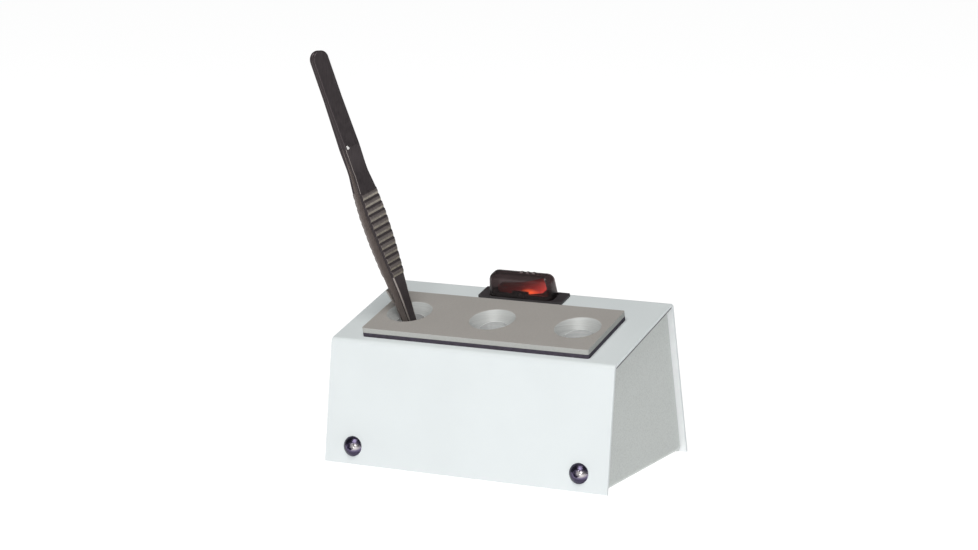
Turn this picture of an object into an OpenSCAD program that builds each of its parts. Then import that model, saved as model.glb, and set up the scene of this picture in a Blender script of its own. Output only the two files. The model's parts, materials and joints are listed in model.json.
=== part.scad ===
// Forceps warmer: a folded sheet case with three heated wells in its sloping deck, a rocker switch
// under a clear boot, a fused mains inlet at the rear, and serrated forceps standing in the left well.
// Millimetres, +Z up, the front faces -Y. The origin is on the ground under the middle of the case.

/* [Case] */
// Width of the folded cover
case_w = 140; // [134:1:170]
// Height of the front top edge above the bottom of the case
front_h = 55.6; // [54:0.2:66]
// Backward lean of the front panel in degrees
front_lean = 7.4; // [3:0.2:10]
// Rise of the deck towards the rear in degrees
deck_slope = 15; // [11:0.5:18]
// Length of the deck along its slope
deck_len = 66.9; // [66:0.1:78]
// Thickness of the folded sheet
sheet_t = 1.5; // [1:0.1:2]
// Outside radius of the folds
bend_r = 2.5; // [2.2:0.1:4]
// Overhang of the cover past each side panel
side_inset = 2.9; // [1:0.1:4]
// Clearance between the cover and the chassis inside it
cover_gap = 0.3; // [0.1:0.1:0.6]
// Width of the chassis tabs that take the cover screws
tab_w = 19; // [16:0.5:22]
// Height of the chassis tabs along the panel
tab_h = 15; // [14:0.5:18]
// Height of the rubber feet
foot_h = 2; // [1:0.1:4]
// Diameter of the rubber feet
foot_d = 12; // [8:0.5:16]
// Distance of the feet from the case edges
foot_setback = 18; // [14:0.5:24]

/* [Cover screws] */
// Diameter of the screw thread
screw_d = 4.8; // [4:0.1:5]
// Diameter of the button head
screw_head_d = 9.2; // [8:0.1:10]
// Height of the button head
screw_head_h = 2.6; // [2:0.1:3]
// Length of the screw under its head
screw_len = 8; // [7.5:0.5:12]
// Width across the flats of the socket
socket_af = 3.1; // [2.5:0.1:4]
// Distance of the screws from the ends of the cover
screw_from_end = 14; // [12:0.5:16]
// Height of the screws up the panel
screw_up = 8.2; // [7.5:0.1:10]
// Width across the flats of the clinch nuts
nut_af = 8.5; // [8:0.1:10]
// Thickness of the clinch nuts
nut_t = 3.2; // [2.5:0.1:4]

/* [Wells] */
// Distance from each end of the cover to the well plate
plate_margin = 14; // [10:0.5:16]
// Gap between the well plate and the switch bezel
plate_gap = 8.1; // [7:0.1:9]
// Thickness of the well plate
plate_t = 2.4; // [1.5:0.1:3]
// Corner radius of the plate and gasket
plate_corner = 1; // [0.5:0.1:3]
// Thickness of the gasket under the plate
gasket_t = 2; // [1:0.1:3]
// Distance from the front edge of the deck to the plate
plate_setback = 4.2; // [3:0.1:6]
// Distance from each end of the plate to the middle of the end well
well_margin = 14; // [13:0.5:16]
// Diameter of the well's mouth
well_mouth_d = 21; // [20:0.1:22]
// Diameter of the well's bore
well_bore_d = 12.7; // [11.5:0.1:13.5]
// Depth of a well from the plate's top
well_depth = 24; // [22:0.5:28]
// Wall of a well cup
cup_wall = 3.15; // [2.8:0.05:3.5]
// Thickness of a cup's floor
cup_floor = 2; // [1:0.1:3]
// Clearance round a cup where it passes through the deck
cup_gap = 0.5; // [0.2:0.1:1]
// Thickness of the insulating washers
washer_t = 1.5; // [1:0.1:2.5]
// Width of the insulating washers' rim
washer_rim = 4.5; // [3:0.1:5.5]
// Thickness of the ring nuts
ring_nut_t = 4; // [3:0.1:5]
// Width of the ring nuts' rim
ring_nut_rim = 3.5; // [2.5:0.1:4.5]

/* [Heater] */
// Gap between the ring nuts and the heater bar
bar_drop = 2; // [1:0.1:4]
// Metal in front of the cups
bar_front = 3.5; // [3:0.1:5]
// Metal past the end cups
bar_end = 4.5; // [3:0.1:5]
// Metal between the cups and the heater, and behind the heater
bar_web = 1.8; // [1.2:0.1:2.4]
// Metal under the cups
bar_floor = 1.8; // [1:0.1:3]
// Diameter of the cartridge heater
heater_d = 6.35; // [5:0.05:6.5]
// Metal past the blind end of the cartridge heater
heater_blind = 11; // [8:0.5:20]
// How far the heater stands out of the bar
heater_out = 3; // [2:0.1:3.5]
// Diameter of the grub screws
grub_d = 4; // [3:0.1:5]
// Diameter of the thermostat
thermostat_d = 16; // [14:0.5:18]
// Height of the thermostat
thermostat_h = 11; // [9:0.5:13]
// Distance between the thermostat's screws
thermostat_pitch = 23; // [22:0.5:25]
// Diameter of the small screws under the bar
small_screw_d = 3; // [2.5:0.1:3.5]
// Diameter of the thermal cut-off
cutoff_d = 4; // [3:0.1:5]
// Length of the thermal cut-off
cutoff_len = 12; // [9:0.5:14]

/* [Switch] */
// Length of the switch bezel past each end of the boot
bezel_wing = 5.45; // [2:0.05:8]
// Rim of the switch bezel in front of the boot and behind it
bezel_rim = 0.55; // [0.4:0.05:2]
// Height of the switch bezel
bezel_t = 1.3; // [1:0.1:2.4]
// Corner radius of the switch bezel
bezel_corner = 1; // [0.6:0.1:2]
// Distance from the rear edge of the deck to the bezel
bezel_setback = 2.8; // [2.6:0.1:4]
// Corner radius of the boot
boot_corner = 2.6; // [2:0.1:3.2]
// Inward lean of the boot's walls in degrees
boot_draft = 4; // [2:0.5:5]
// Height of the boot above the deck
boot_h = 12; // [11.8:0.1:15]
// Height of the boot's straight foot
boot_foot_h = 2.6; // [2.4:0.1:4]
// Rounding of the boot's top towards its ends
boot_round_l = 3.3; // [2:0.1:4]
// Rounding of the boot's top towards the front and rear
boot_round_d = 2.2; // [1.5:0.1:2.4]
// Wall of the boot
boot_wall = 0.8; // [0.5:0.1:1.2]
// Length of the switch body
body_l = 25.6; // [24:0.2:30]
// Depth of the switch body along the slope
body_d = 6.4; // [6.3:0.1:8]
// Height of the switch body below the deck
body_h = 19; // [18:0.5:22]
// Wall of the switch body
body_wall = 0.7; // [0.5:0.05:0.75]
// Lap of the switch's flange past each end of its hole
flange_lap_l = 1.4; // [0.8:0.1:3]
// Lap of the switch's flange past the front and rear of its hole
flange_lap_d = 0.1; // [0.1:0.05:1]
// Play between the rocker and each end of the switch body's cavity
rocker_play = 0.9; // [0.8:0.1:2]
// Tilt of the rocker to each side in degrees
rocker_tilt = 10; // [6:0.5:11]
// Height of the rocker's pivot above the deck
pivot_up = 2.4; // [2:0.1:2.8]
// Diameter of the rocker's pin
pin_d = 2; // [1.5:0.1:2.2]
// Length of the rocker's stem below its pivot
stem_l = 8.7; // [8:0.1:8.8]
// Tilt of the contact lever to each side in degrees
lever_tilt = 8; // [5:0.5:9]
// Length of the terminals below the switch body
terminal_out = 9; // [6:0.5:10]
// Distance of the outer terminals from the middle one
terminal_pitch = 7.8; // [7:0.1:8.4]

/* [Inlet] */
// Sideways place of the inlet
inlet_x = -28; // [-32:1:-26]
// Distance of the inlet's middle below the deck
inlet_down = 47; // [46:0.5:49]
// Width of the inlet's flange past each screw
inlet_edge = 4; // [3:0.1:6]
// Height of the inlet's flange
inlet_flange_h = 33; // [32:0.5:35]
// Thickness of the inlet's flange
inlet_flange_t = 2.4; // [2:0.1:3]
// Depth of the inlet's body behind the panel face
inlet_depth = 17; // [16:0.5:20]
// Distance between the inlet's screws
inlet_pitch = 40; // [39:0.1:41]
// Travel of the fuse drawer
drawer_travel = 15; // [10:0.5:16]

/* [Forceps] */
// Length of the forceps
forceps_l = 150.5; // [142:0.5:165]
// Lean of the forceps to the left in the well in degrees
forceps_lean = 12.2; // [11:0.1:12.4]
// Turn of the forceps about its length in degrees
forceps_turn = 21; // [15:1:25]
// Sideways place of the forceps at the foot of the well's cone
forceps_off = -1; // [-1.2:0.1:-0.8]
// Length of the joined heel
heel_l = 45.5; // [38:0.5:48]
// Width of the forceps at the heel
heel_w = 8.2; // [7.5:0.1:9]
// Thickness that the heel loses towards its end, on each side
heel_thin = 0.9; // [0.4:0.1:1]
// Width of the arms at the widest ridge
grip_w = 9.5; // [8.8:0.1:10]
// Width of the arms between the grip and the heel
waist_w = 7.8; // [7:0.1:8.2]
// Width of the arms below the grip
neck_w = 5.4; // [4.6:0.1:5.8]
// Number of ridges on each grip
ridge_count = 12; // [6:1:13]
// Distance between ridges
ridge_pitch = 3.5; // [3:0.05:3.6]
// Height of the ridges
ridge_h = 0.6; // [0.3:0.05:0.8]
// Thickness of an arm
arm_t = 1.6; // [1.2:0.05:1.8]
// Thickness of an arm at its tip
tip_t = 1.2; // [0.8:0.05:1.3]
// Half gap between the tips
tip_gap = 1.1; // [0.8:0.05:1.2]
// Outward bow of each arm
arm_bow = 1.7; // [1.2:0.05:1.8]
// Width of an arm at its tip
tip_w = 2.8; // [2:0.1:3]

/* [Hidden] */
$fn = 48;

// Clearances
thread_gap = 0.05;
slide_gap = 0.3;
seat_gap = 0.05;
round_gap = 0.1;
cut = 1;

// Case outline, as [y, z] corners of the outer surface
case_bottom = foot_h;
front_top_z = case_bottom + front_h;
rear_h = front_h + deck_len * sin(deck_slope);
front_run = front_h * tan(front_lean);
deck_run = deck_len * cos(deck_slope);
rear_run = rear_h * tan(deck_slope);
base_d = front_run + deck_run + rear_run;
front_y = -base_d / 2;
rear_y = base_d / 2;
front_top_y = front_y + front_run;
outline = [
    [front_y, case_bottom],
    [front_top_y, front_top_z],
    [front_top_y + deck_run, case_bottom + rear_h],
    [rear_y, case_bottom]
];
chassis_w = case_w - 2 * side_inset;
side_inner = chassis_w / 2 - sheet_t;
screw_x = case_w / 2 - screw_from_end;

// Switch outline, from its body outwards to the flange, the boot and the bezel
flange_l = body_l + 2 * slide_gap + 2 * flange_lap_l;
flange_d = body_d + 2 * slide_gap + 2 * flange_lap_d;
boot_l = flange_l + 2 * slide_gap + 2 * boot_wall;
boot_d = flange_d + 2 * slide_gap + 2 * boot_wall;
bezel_l = boot_l + slide_gap + 2 * bezel_wing;
bezel_d = boot_d + slide_gap + 2 * bezel_rim;

// Levels of the wells, measured from the deck surface
plate_low = gasket_t;
plate_top = gasket_t + plate_t;
plate_w = case_w - 2 * plate_margin;
plate_d = deck_len - plate_setback - plate_gap - bezel_d - bezel_setback;
well_pitch = plate_w / 2 - well_margin;
well_s = plate_setback + plate_d / 2;
mouth_r = well_mouth_d / 2;
bore_r = well_bore_d / 2;
cone_foot = plate_top - (mouth_r - bore_r);
well_floor = plate_top - well_depth;
cup_r = bore_r + cup_wall;
cup_foot = well_floor - cup_floor;
deck_under = -sheet_t;
nut_top = deck_under - washer_t;
bar_top = nut_top - ring_nut_t - bar_drop;
bar_foot = cup_foot - seat_gap - bar_floor;
bar_l = 2 * (well_pitch + cup_r + bar_end);
heater_len = bar_l + heater_out - heater_blind;
heater_r = heater_d / 2;
heater_s = well_s + cup_r + bar_web + heater_r;
heater_n = (bar_top + bar_foot) / 2;
bar_front_s = well_s - cup_r - bar_front;
bar_rear_s = heater_s + heater_r + bar_web;

// Pieces under the bar
small_r = small_screw_d / 2;
screw_depth = 4;
thermostat_x = -well_pitch / 2;
thermostat_s = bar_front_s + (bar_rear_s - bar_front_s) / 2;
thermostat_flange_t = 0.8;
thermostat_foot = bar_foot - thermostat_h;
blade_w = 4.8;
blade_t = 0.8;
blade_l = 8;
thermostat_blade_gap = 8;
clip_t = 0.8;
clip_w = 6;
clip_foot_l = 10;
cutoff_x = well_pitch / 2 - clip_foot_l / 2;
cutoff_s = well_s;
cutoff_r = cutoff_d / 2;
clip_screw_x = cutoff_x + cutoff_r + clip_t + clip_foot_l / 2;

// Switch levels, measured from the deck surface at the middle of the switch
switch_x = -0.6;
switch_s = deck_len - bezel_setback - bezel_d / 2;
flange_t = 2.8;
cavity_l = body_l - 2 * body_wall;
cavity_d = body_d - 2 * body_wall;
rocker_l = cavity_l - 2 * rocker_play;
body_floor = 1.5;
cavity_foot = -body_h + body_floor;
rocker_d = cavity_d - 2 * slide_gap;
ear_t = 0.9;
ear_l = 8;
ear_wall = 0.7;
ear_up = pivot_up + pin_d / 2 + ear_wall;
pin_r = pin_d / 2;
lever_gap = 0.7;
lever_n = pivot_up - stem_l - lever_gap;
lever_t = 0.8;
lever_past = 0.7;
lever_l = 2 * (terminal_pitch + lever_past);
lever_d = 4.2;
terminal_foot = -body_h - terminal_out;
lamp_r = 1.6;
lamp_drop = 5.3;
lamp_n = pivot_up - lamp_drop;
lamp_inner = 4;
lamp_seat = 1.5;

// Inlet levels, measured outwards from the rear panel's face
inlet_flange_w = inlet_pitch + 2 * inlet_edge;
inlet_body_w = 28;
inlet_body_h = 31;
socket_w = 24.2;
socket_h = 16.6;
socket_cut = 4.5;
socket_up = 6;
socket_floor = 4;
socket_depth = inlet_depth - socket_floor;
prong_spread = 7;
prong_w = 2;
prong_h = 4;
prong_rise = 4;
prong_recess = 3;
prong_tail = 6;
drawer_low = 10.6;
drawer_w = 22;
drawer_h = 7.4;
drawer_l = 16;
lip_w = 24;
lip_h = 9;
lip_t = 1.6;
lip_corner = 1;
finger_notch_w = 8;
finger_notch_h = 3;
fuse_r = 2.6;
fuse_l = 20;
fuse_cap_l = 5;
fuse_z = -8.5;
inlet_screw_r = 1.5;
inlet_screw_l = 8;
inlet_nut_af = 5.5;
inlet_nut_t = 2.4;

// Earth stud on the chassis floor
floor_top = case_bottom + sheet_t;
stud_x = 40;
stud_y = 18;
stud_r = 2;
stud_l = 12;
lug_t = 1;
lug_r = 4;
earth_nut_af = 7;
earth_nut_t = 3.2;

// Forceps, measured up its length from the tips
hinge_z = forceps_l - heel_l;
hinge_half = 0.1;
hinge_seam = 0.05;
root_l = 10;
heel_t = 2 * (hinge_half + arm_t + heel_thin);
grip_z = 41.9;
grip_l = ridge_count * ridge_pitch;
grip_top = grip_z + grip_l;
grip_run = 8;
grip_wide = 0.7;
grip_foot_w = neck_w + 1;
neck_l = 8;
tip_ease = 0.5;
tip_clear = 0.4;
tip_reach = (cone_foot - well_floor - tip_clear) / cos(forceps_lean)
    - (tip_gap + tip_t) * tan(forceps_lean);

// Wire routes: the ends follow the terminals, and the points between are chosen by hand
wire_d = 1.8;
wire_in = 0.8;
side_run = 2;
heater_lead_n = 1.3;
live_route = [
    pin_end(-1, -wire_in), pin_end(-1, 2.2), pin_end(-1, 8) + [1, 0, -1], [-24, 4, 26], [-8, 10, 30],
    terminal_end(0, 8) + [0, -4, 0], terminal_end(0, 1.6), terminal_end(0, -wire_in)
];
switched_route = [
    terminal_end(1, -wire_in), terminal_end(1, 2.2), terminal_end(1, 10) + [-1.4, -4, 0],
    [-2, 10, 24], [-10, 2, 18],
    blade_end(1, 6) + [1, 1, 0], blade_end(1, 2.4), blade_end(1, -2 * wire_in)
];
limiter_route = [
    blade_end(-1, -2 * wire_in), blade_end(-1, 2.4), [-22, -4, 16], [-10, -13, 14], [6, -19, 18],
    cutoff_end(-1, 8) + [-5, 1, -8], cutoff_end(-1, 5) + [-0.6, 0, -1.5],
    cutoff_end(-1, 2.4), cutoff_end(-1, -wire_in)
];
heater_lead_route = [
    cutoff_end(1, -wire_in), cutoff_end(1, 2.5), cutoff_end(1, 5.5) + [1.5, 0, -2],
    [30, 7, 33], [40, 7, 27], [side_inner - 13.6, 5, 25],
    [side_inner - side_run - 3.6, 4, 32], [side_inner - side_run - 1.2, 4, 44],
    heater_end(2.4, -heater_lead_n) + [0, 0, -2], heater_end(1.2, -heater_lead_n),
    heater_end(-2 * wire_in, -heater_lead_n)
];
neutral_route = [
    pin_end(1, -wire_in), pin_end(1, 2.2), pin_end(1, 8) + [2.5, 0, -5],
    [-6, -4, 9], [20, -8, 8], [44, -6, 10],
    [side_inner - side_run - 3.6, -2, 22], [side_inner - side_run, -0.6, 40],
    [side_inner - side_run - 0.2, 0, 51],
    heater_end(1.8, heater_lead_n), heater_end(-2 * wire_in, heater_lead_n)
];
earth_route = [
    pin_end(0, -wire_in), pin_end(0, 2.2), pin_end(0, 5) + [0, 0, -5],
    [-26, 10, 15], [-16, 13, 8], [4, 16, 6.5], [20, 17.6, 5.6],
    [stud_x - lug_r - 6, stud_y, floor_top + 1.5], [stud_x - lug_r - 2.6, stud_y, floor_top + wire_d / 2]
];

// A point of the deck frame in the frame of the whole object
function deck_point(x, s, n) = [
    x,
    front_top_y + s * cos(deck_slope) - n * sin(deck_slope),
    front_top_z + s * sin(deck_slope) + n * cos(deck_slope)
];

// Points straight out of the ends that the wires join, at a distance past each end
function pin_end(i, out) =
    let (p = prong_at(i))
    deck_point(inlet_x + p.x, deck_len - inlet_depth - prong_tail - out, -inlet_down - p.y);

function terminal_end(i, out) =
    deck_point(switch_x + i * terminal_pitch, switch_s, terminal_foot - out);

function blade_end(side, out) =
    let (x = thermostat_x + side * thermostat_blade_gap / 2)
    deck_point(x, thermostat_s, thermostat_foot - blade_l - out);

function cutoff_end(side, out) =
    let (s = cutoff_s + side * (cutoff_len / 2 + out))
    deck_point(cutoff_x, s, bar_foot - cutoff_r - seat_gap);

function heater_end(out, up) = deck_point(bar_l / 2 + heater_out + out, heater_s, heater_n + up);

// Geometry helpers

function unit(v) = v / norm(v);

function half_sine(p, q, r) = sqrt((1 - unit(p - q) * unit(r - q)) / 2);

// The corner q moved inwards so that both its sides move by d
function inset_corner(p, q, r, d) =
    q + unit(unit(p - q) + unit(r - q)) * d / half_sine(p, q, r);

// The arc that rounds the corner q
function corner_arc(p, q, r, radius, steps) =
    let (
        h = half_sine(p, q, r),
        run = radius * sqrt(1 - h * h) / h,
        centre = inset_corner(p, q, r, radius),
        from = q + unit(p - q) * run - centre,
        to = q + unit(r - q) * run - centre,
        start = atan2(from.y, from.x),
        turn = atan2(to.y, to.x) - start,
        sweep = turn > 180 ? turn - 360 : turn < -180 ? turn + 360 : turn
    )
    [for (i = [0 : steps])
        let (a = start + sweep * i / steps)
        centre + radius * [cos(a), sin(a)]];

function rounded(points, radii, steps = 6) =
    let (n = len(points))
    [for (i = [0 : n - 1])
        each radii[i] == 0
            ? [points[i]]
            : corner_arc(points[(i + n - 1) % n], points[i], points[(i + 1) % n], radii[i], steps)];

function box_corners(w, h) = [[-w / 2, -h / 2], [w / 2, -h / 2], [w / 2, h / 2], [-w / 2, h / 2]];

function rounded_box(w, h, r) = rounded(box_corners(w, h), [r, r, r, r]);

function reversed(list) = [for (i = [len(list) - 1 : -1 : 0]) list[i]];

// The case outline moved inwards by d, with its two folds rounded
function case_outline(d, fold_r) =
    rounded(
        [
            outline[0] + [d / cos(front_lean), 0],
            inset_corner(outline[0], outline[1], outline[2], d),
            inset_corner(outline[1], outline[2], outline[3], d),
            outline[3] - [d / cos(deck_slope), 0]
        ],
        [0, fold_r, fold_r, 0]
    );

// A smooth curve through the points p, at share t of the stretch after point i
function spline_point(p, i, t) =
    let (
        n = len(p) - 1,
        a = p[max(i - 1, 0)],
        b = p[i],
        c = p[min(i + 1, n)],
        d = p[min(i + 2, n)]
    )
    b + (c - a) * t / 2
        + (2 * a - 5 * b + 4 * c - d) * t * t / 2
        + (3 * b - a - 3 * c + d) * t * t * t / 2;

function smooth_route(p, steps) =
    concat(
        [for (i = [0 : len(p) - 2]) for (k = [0 : steps - 1]) spline_point(p, i, k / steps)],
        [p[len(p) - 1]]
    );

function tangent(p, i) = unit(p[min(i + 1, len(p) - 1)] - p[max(i - 1, 0)]);

// A side direction carried along the route, so that the tube doesn't twist
function side_at(p, i) =
    let (
        before = i == 0 ? [0.31, 0.47, 0.83] : side_at(p, i - 1),
        t = tangent(p, i)
    )
    unit(before - t * (before * t));

function ring_at(p, i, r, sides) =
    let (u = side_at(p, i), v = cross(tangent(p, i), u))
    [for (k = [0 : sides - 1]) p[i] + r * (u * cos(360 * k / sides) + v * sin(360 * k / sides))];

module tube_along(route, d, sides = 8, steps = 3) {
    p = smooth_route(route, steps);
    n = len(p);
    points = [for (i = [0 : n - 1]) each ring_at(p, i, d / 2, sides)];
    walls = [
        for (i = [0 : n - 2])
            for (k = [0 : sides - 1])
                let (a = i * sides + k, b = i * sides + (k + 1) % sides)
                each [[a, a + sides, b], [b, a + sides, b + sides]]
    ];
    low_cap = [for (k = [1 : sides - 2]) [0, k, k + 1]];
    top = (n - 1) * sides;
    top_cap = [for (k = [1 : sides - 2]) [top, top + k + 1, top + k]];
    polyhedron(points, concat(walls, low_cap, top_cap));
}

module along_x(w) {
    rotate([90, 0, 90]) linear_extrude(height = w, center = true) children();
}

module slab(w, d, r, h) {
    linear_extrude(height = h) polygon(rounded_box(w, d, r));
}

module block(size, at = [0, 0, 0]) {
    translate(at) cube(size, center = true);
}

module ring(outer_r, inner_r, h) {
    difference() {
        cylinder(r = outer_r, h = h);
        translate([0, 0, -cut]) cylinder(r = inner_r, h = h + 2 * cut);
    }
}

module hex_nut(af, h, hole_r) {
    difference() {
        cylinder(d = af / cos(30), h = h, $fn = 6);
        translate([0, 0, -cut]) cylinder(r = hole_r, h = h + 2 * cut);
    }
}

// A round-headed socket screw: head above zero, shank below
module button_screw(d, l, head_d, head_h, af) {
    rim = head_h * 0.2;
    difference() {
        rotate_extrude() polygon(concat(
            [[0, -l], [d / 2, -l], [d / 2, 0], [head_d / 2, 0]],
            [for (a = [0 : 15 : 90]) [head_d / 2 * cos(a), rim + (head_h - rim) * sin(a)]]
        ));
        translate([0, 0, head_h * 0.4]) cylinder(d = af / cos(30), h = head_h, $fn = 6);
    }
}

// Frames that carry the pieces

// Deck surface: X across, Y up the slope from the front edge, Z out of the deck
module on_deck() {
    translate([0, front_top_y, front_top_z]) rotate([deck_slope, 0, 0]) children();
}

// Front panel: -Y outwards, Z up the panel from its bottom edge
module on_front() {
    translate([0, front_y, case_bottom]) rotate([-front_lean, 0, 0]) children();
}

// Rear panel: +Y outwards, Z up the panel from its bottom edge
module on_rear() {
    translate([0, rear_y, case_bottom]) rotate([deck_slope, 0, 0]) children();
}

module at_wells() {
    for (i = [-1 : 1]) translate([i * well_pitch, well_s, 0]) children();
}

module at_switch() {
    on_deck() translate([switch_x, switch_s, 0]) children();
}

// Inlet: Z outwards from the rear panel, +Y down the panel
module at_inlet() {
    on_deck() translate([inlet_x, deck_len, -inlet_down]) rotate([-90, 0, 0]) children();
}

// Cover screws: Z outwards from each panel
module at_cover_screws() {
    for (x = [-screw_x, screw_x]) {
        on_front() translate([x, 0, screw_up]) rotate([90, 0, 0]) children();
        on_rear() translate([x, 0, screw_up]) rotate([-90, 0, 0]) children();
    }
}

// Forceps: Z up its length from the tips, X across the two arms
module at_forceps() {
    on_deck()
        translate([-well_pitch + forceps_off, well_s, cone_foot])
            rotate([0, -forceps_lean, 0])
                rotate([0, 0, -forceps_turn])
                    translate([0, 0, -tip_reach])
                        children();
}

// Case pieces

module wrap_cover() {
    color("whitesmoke") difference() {
        along_x(case_w) polygon(concat(
            case_outline(0, bend_r),
            reversed(case_outline(sheet_t, bend_r - sheet_t))
        ));
        at_cover_screws() cylinder(r = screw_d / 2 + slide_gap, h = 4 * sheet_t, center = true);
        on_deck() at_wells() cylinder(r = cup_r + cup_gap, h = 4 * sheet_t, center = true);
        at_switch() block([body_l + 2 * slide_gap, body_d + 2 * slide_gap, 4 * sheet_t]);
        at_inlet() block([inlet_body_w + 2 * slide_gap, inlet_body_h + 2 * slide_gap, 4 * sheet_t]);
        at_inlet() for (x = [-1, 1]) {
            translate([x * inlet_pitch / 2, 0, 0])
                cylinder(r = inlet_screw_r + slide_gap, h = 4 * sheet_t, center = true);
        }
    }
}

module chassis() {
    bend_in = bend_r - sheet_t;
    tall = rear_h + 2 * foot_h;
    tab_in = sheet_t + cover_gap;
    tray = concat(
        rounded(
            [[-chassis_w / 2, tall], [-chassis_w / 2, 0], [chassis_w / 2, 0], [chassis_w / 2, tall]],
            [0, bend_r, bend_r, 0]
        ),
        reversed(rounded(
            [[-side_inner, tall], [-side_inner, sheet_t], [side_inner, sheet_t], [side_inner, tall]],
            [0, bend_in, bend_in, 0]
        ))
    );
    color("gainsboro") difference() {
        intersection() {
            along_x(case_w) polygon(case_outline(sheet_t + cover_gap, bend_r));
            union() {
                translate([0, base_d / 2, case_bottom])
                    rotate([90, 0, 0])
                        linear_extrude(height = base_d) polygon(tray);
                for (side = [-1, 1]) {
                    tab_x = side * (side_inner + sheet_t / 2 - tab_w / 2);
                    on_front() block([tab_w, sheet_t, 2 * tab_h], [tab_x, tab_in + sheet_t / 2, 0]);
                    on_rear() block([tab_w, sheet_t, 2 * tab_h], [tab_x, -tab_in - sheet_t / 2, 0]);
                }
            }
        }
        at_cover_screws() cylinder(r = screw_d / 2 + slide_gap, h = 6 * sheet_t, center = true);
    }
}

module cover_screws() {
    color("silver") at_cover_screws()
        button_screw(screw_d, screw_len, screw_head_d, screw_head_h, socket_af);
}

module clinch_nuts() {
    nut_in = 2 * sheet_t + cover_gap + nut_t;
    color("darkgray") at_cover_screws() translate([0, 0, -nut_in])
        hex_nut(nut_af, nut_t, screw_d / 2 + thread_gap);
}

module rubber_feet() {
    color("dimgray") for (x = [-1, 1], y = [-1, 1]) {
        translate([x * (case_w / 2 - foot_setback), y * (base_d / 2 - foot_setback), 0])
            cylinder(d1 = foot_d - foot_h / 2, d2 = foot_d, h = foot_h);
    }
}

// Well pieces

// The space inside a well, from its floor to above the plate
module well_space() {
    rotate_extrude() polygon([
        [0, well_floor],
        [bore_r, well_floor],
        [bore_r, cone_foot],
        [mouth_r + cut, plate_top + cut],
        [0, plate_top + cut]
    ]);
}

module well_plate() {
    color("darkgray") on_deck() difference() {
        translate([0, well_s, plate_low]) slab(plate_w, plate_d, plate_corner, plate_t);
        at_wells() well_space();
    }
}

module plate_gasket() {
    color("dimgray") on_deck() difference() {
        translate([0, well_s, 0]) slab(plate_w, plate_d, plate_corner, gasket_t);
        at_wells() cylinder(r = cup_r + cup_gap, h = 4 * gasket_t, center = true);
    }
}

module well_cup(place) {
    color("silver") on_deck() translate([place * well_pitch, well_s, 0]) difference() {
        translate([0, 0, cup_foot]) cylinder(r = cup_r, h = plate_low - cup_foot);
        well_space();
    }
}

module well_cup_left() well_cup(-1);
module well_cup_centre() well_cup(0);
module well_cup_right() well_cup(1);

module insulating_washers() {
    color("tan") on_deck() at_wells() translate([0, 0, nut_top])
        ring(cup_r + washer_rim, cup_r + thread_gap, washer_t);
}

module ring_nuts() {
    slot_w = 2;
    color("goldenrod") on_deck() at_wells() translate([0, 0, nut_top - ring_nut_t]) difference() {
        ring(cup_r + ring_nut_rim, cup_r + thread_gap, ring_nut_t);
        for (a = [0 : 90 : 270]) {
            rotate([0, 0, a]) block([slot_w, slot_w, 4 * ring_nut_t], [cup_r + ring_nut_rim, 0, 0]);
        }
    }
}

// Heater pieces

module at_grub_screws() {
    on_deck() at_wells() translate([0, -cup_r - seat_gap, heater_n]) rotate([90, 0, 0]) children();
}

module at_bar_screws() {
    on_deck() translate([thermostat_x, thermostat_s, bar_foot]) for (y = [-1, 1]) {
        translate([0, y * thermostat_pitch / 2, -thermostat_flange_t]) children();
    }
    on_deck() translate([clip_screw_x, cutoff_s, bar_foot - clip_t]) children();
}

module heater_bar() {
    color("lightgray") difference() {
        on_deck() translate([-bar_l / 2, bar_front_s, bar_foot])
            cube([bar_l, bar_rear_s - bar_front_s, bar_top - bar_foot]);
        on_deck() at_wells() translate([0, 0, cup_foot - seat_gap])
            cylinder(r = cup_r + thread_gap, h = bar_l);
        on_deck() translate([bar_l / 2 + heater_out, heater_s, heater_n]) rotate([0, -90, 0])
            cylinder(r = heater_r + thread_gap, h = heater_len + seat_gap);
        at_grub_screws() cylinder(r = grub_d / 2 + thread_gap, h = 4 * bar_front, center = true);
        at_bar_screws() cylinder(r = small_r + thread_gap, h = screw_depth + clip_t + seat_gap);
    }
}

module cartridge_heater() {
    color("slategray") on_deck() translate([bar_l / 2 + heater_out, heater_s, heater_n])
        rotate([0, -90, 0]) cylinder(r = heater_r, h = heater_len);
}

module grub_screws() {
    color("dimgray") at_grub_screws() difference() {
        cylinder(r = grub_d / 2, h = bar_front);
        translate([0, 0, bar_front / 2]) cylinder(d = grub_d / 2, h = bar_front, $fn = 6);
    }
}

module thermostat() {
    ear_w = 8;
    cap_h = 4;
    cap_rim = 1;
    color("sienna") on_deck() translate([thermostat_x, thermostat_s, bar_foot]) difference() {
        union() {
            translate([0, 0, -thermostat_flange_t])
                slab(ear_w, thermostat_pitch + ear_w, ear_w / 2 - round_gap, thermostat_flange_t);
            translate([0, 0, -cap_h]) cylinder(d = thermostat_d, h = cap_h);
            translate([0, 0, -thermostat_h])
                cylinder(d = thermostat_d - cap_rim, h = thermostat_h - cap_h / 2);
            for (x = [-1, 1]) {
                block([blade_t, blade_w, 2 * blade_l], [x * thermostat_blade_gap / 2, 0, -thermostat_h]);
            }
        }
        for (y = [-1, 1]) {
            translate([0, y * thermostat_pitch / 2, 0])
                cylinder(r = small_r + thread_gap, h = 4 * thermostat_flange_t, center = true);
        }
    }
}

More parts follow.
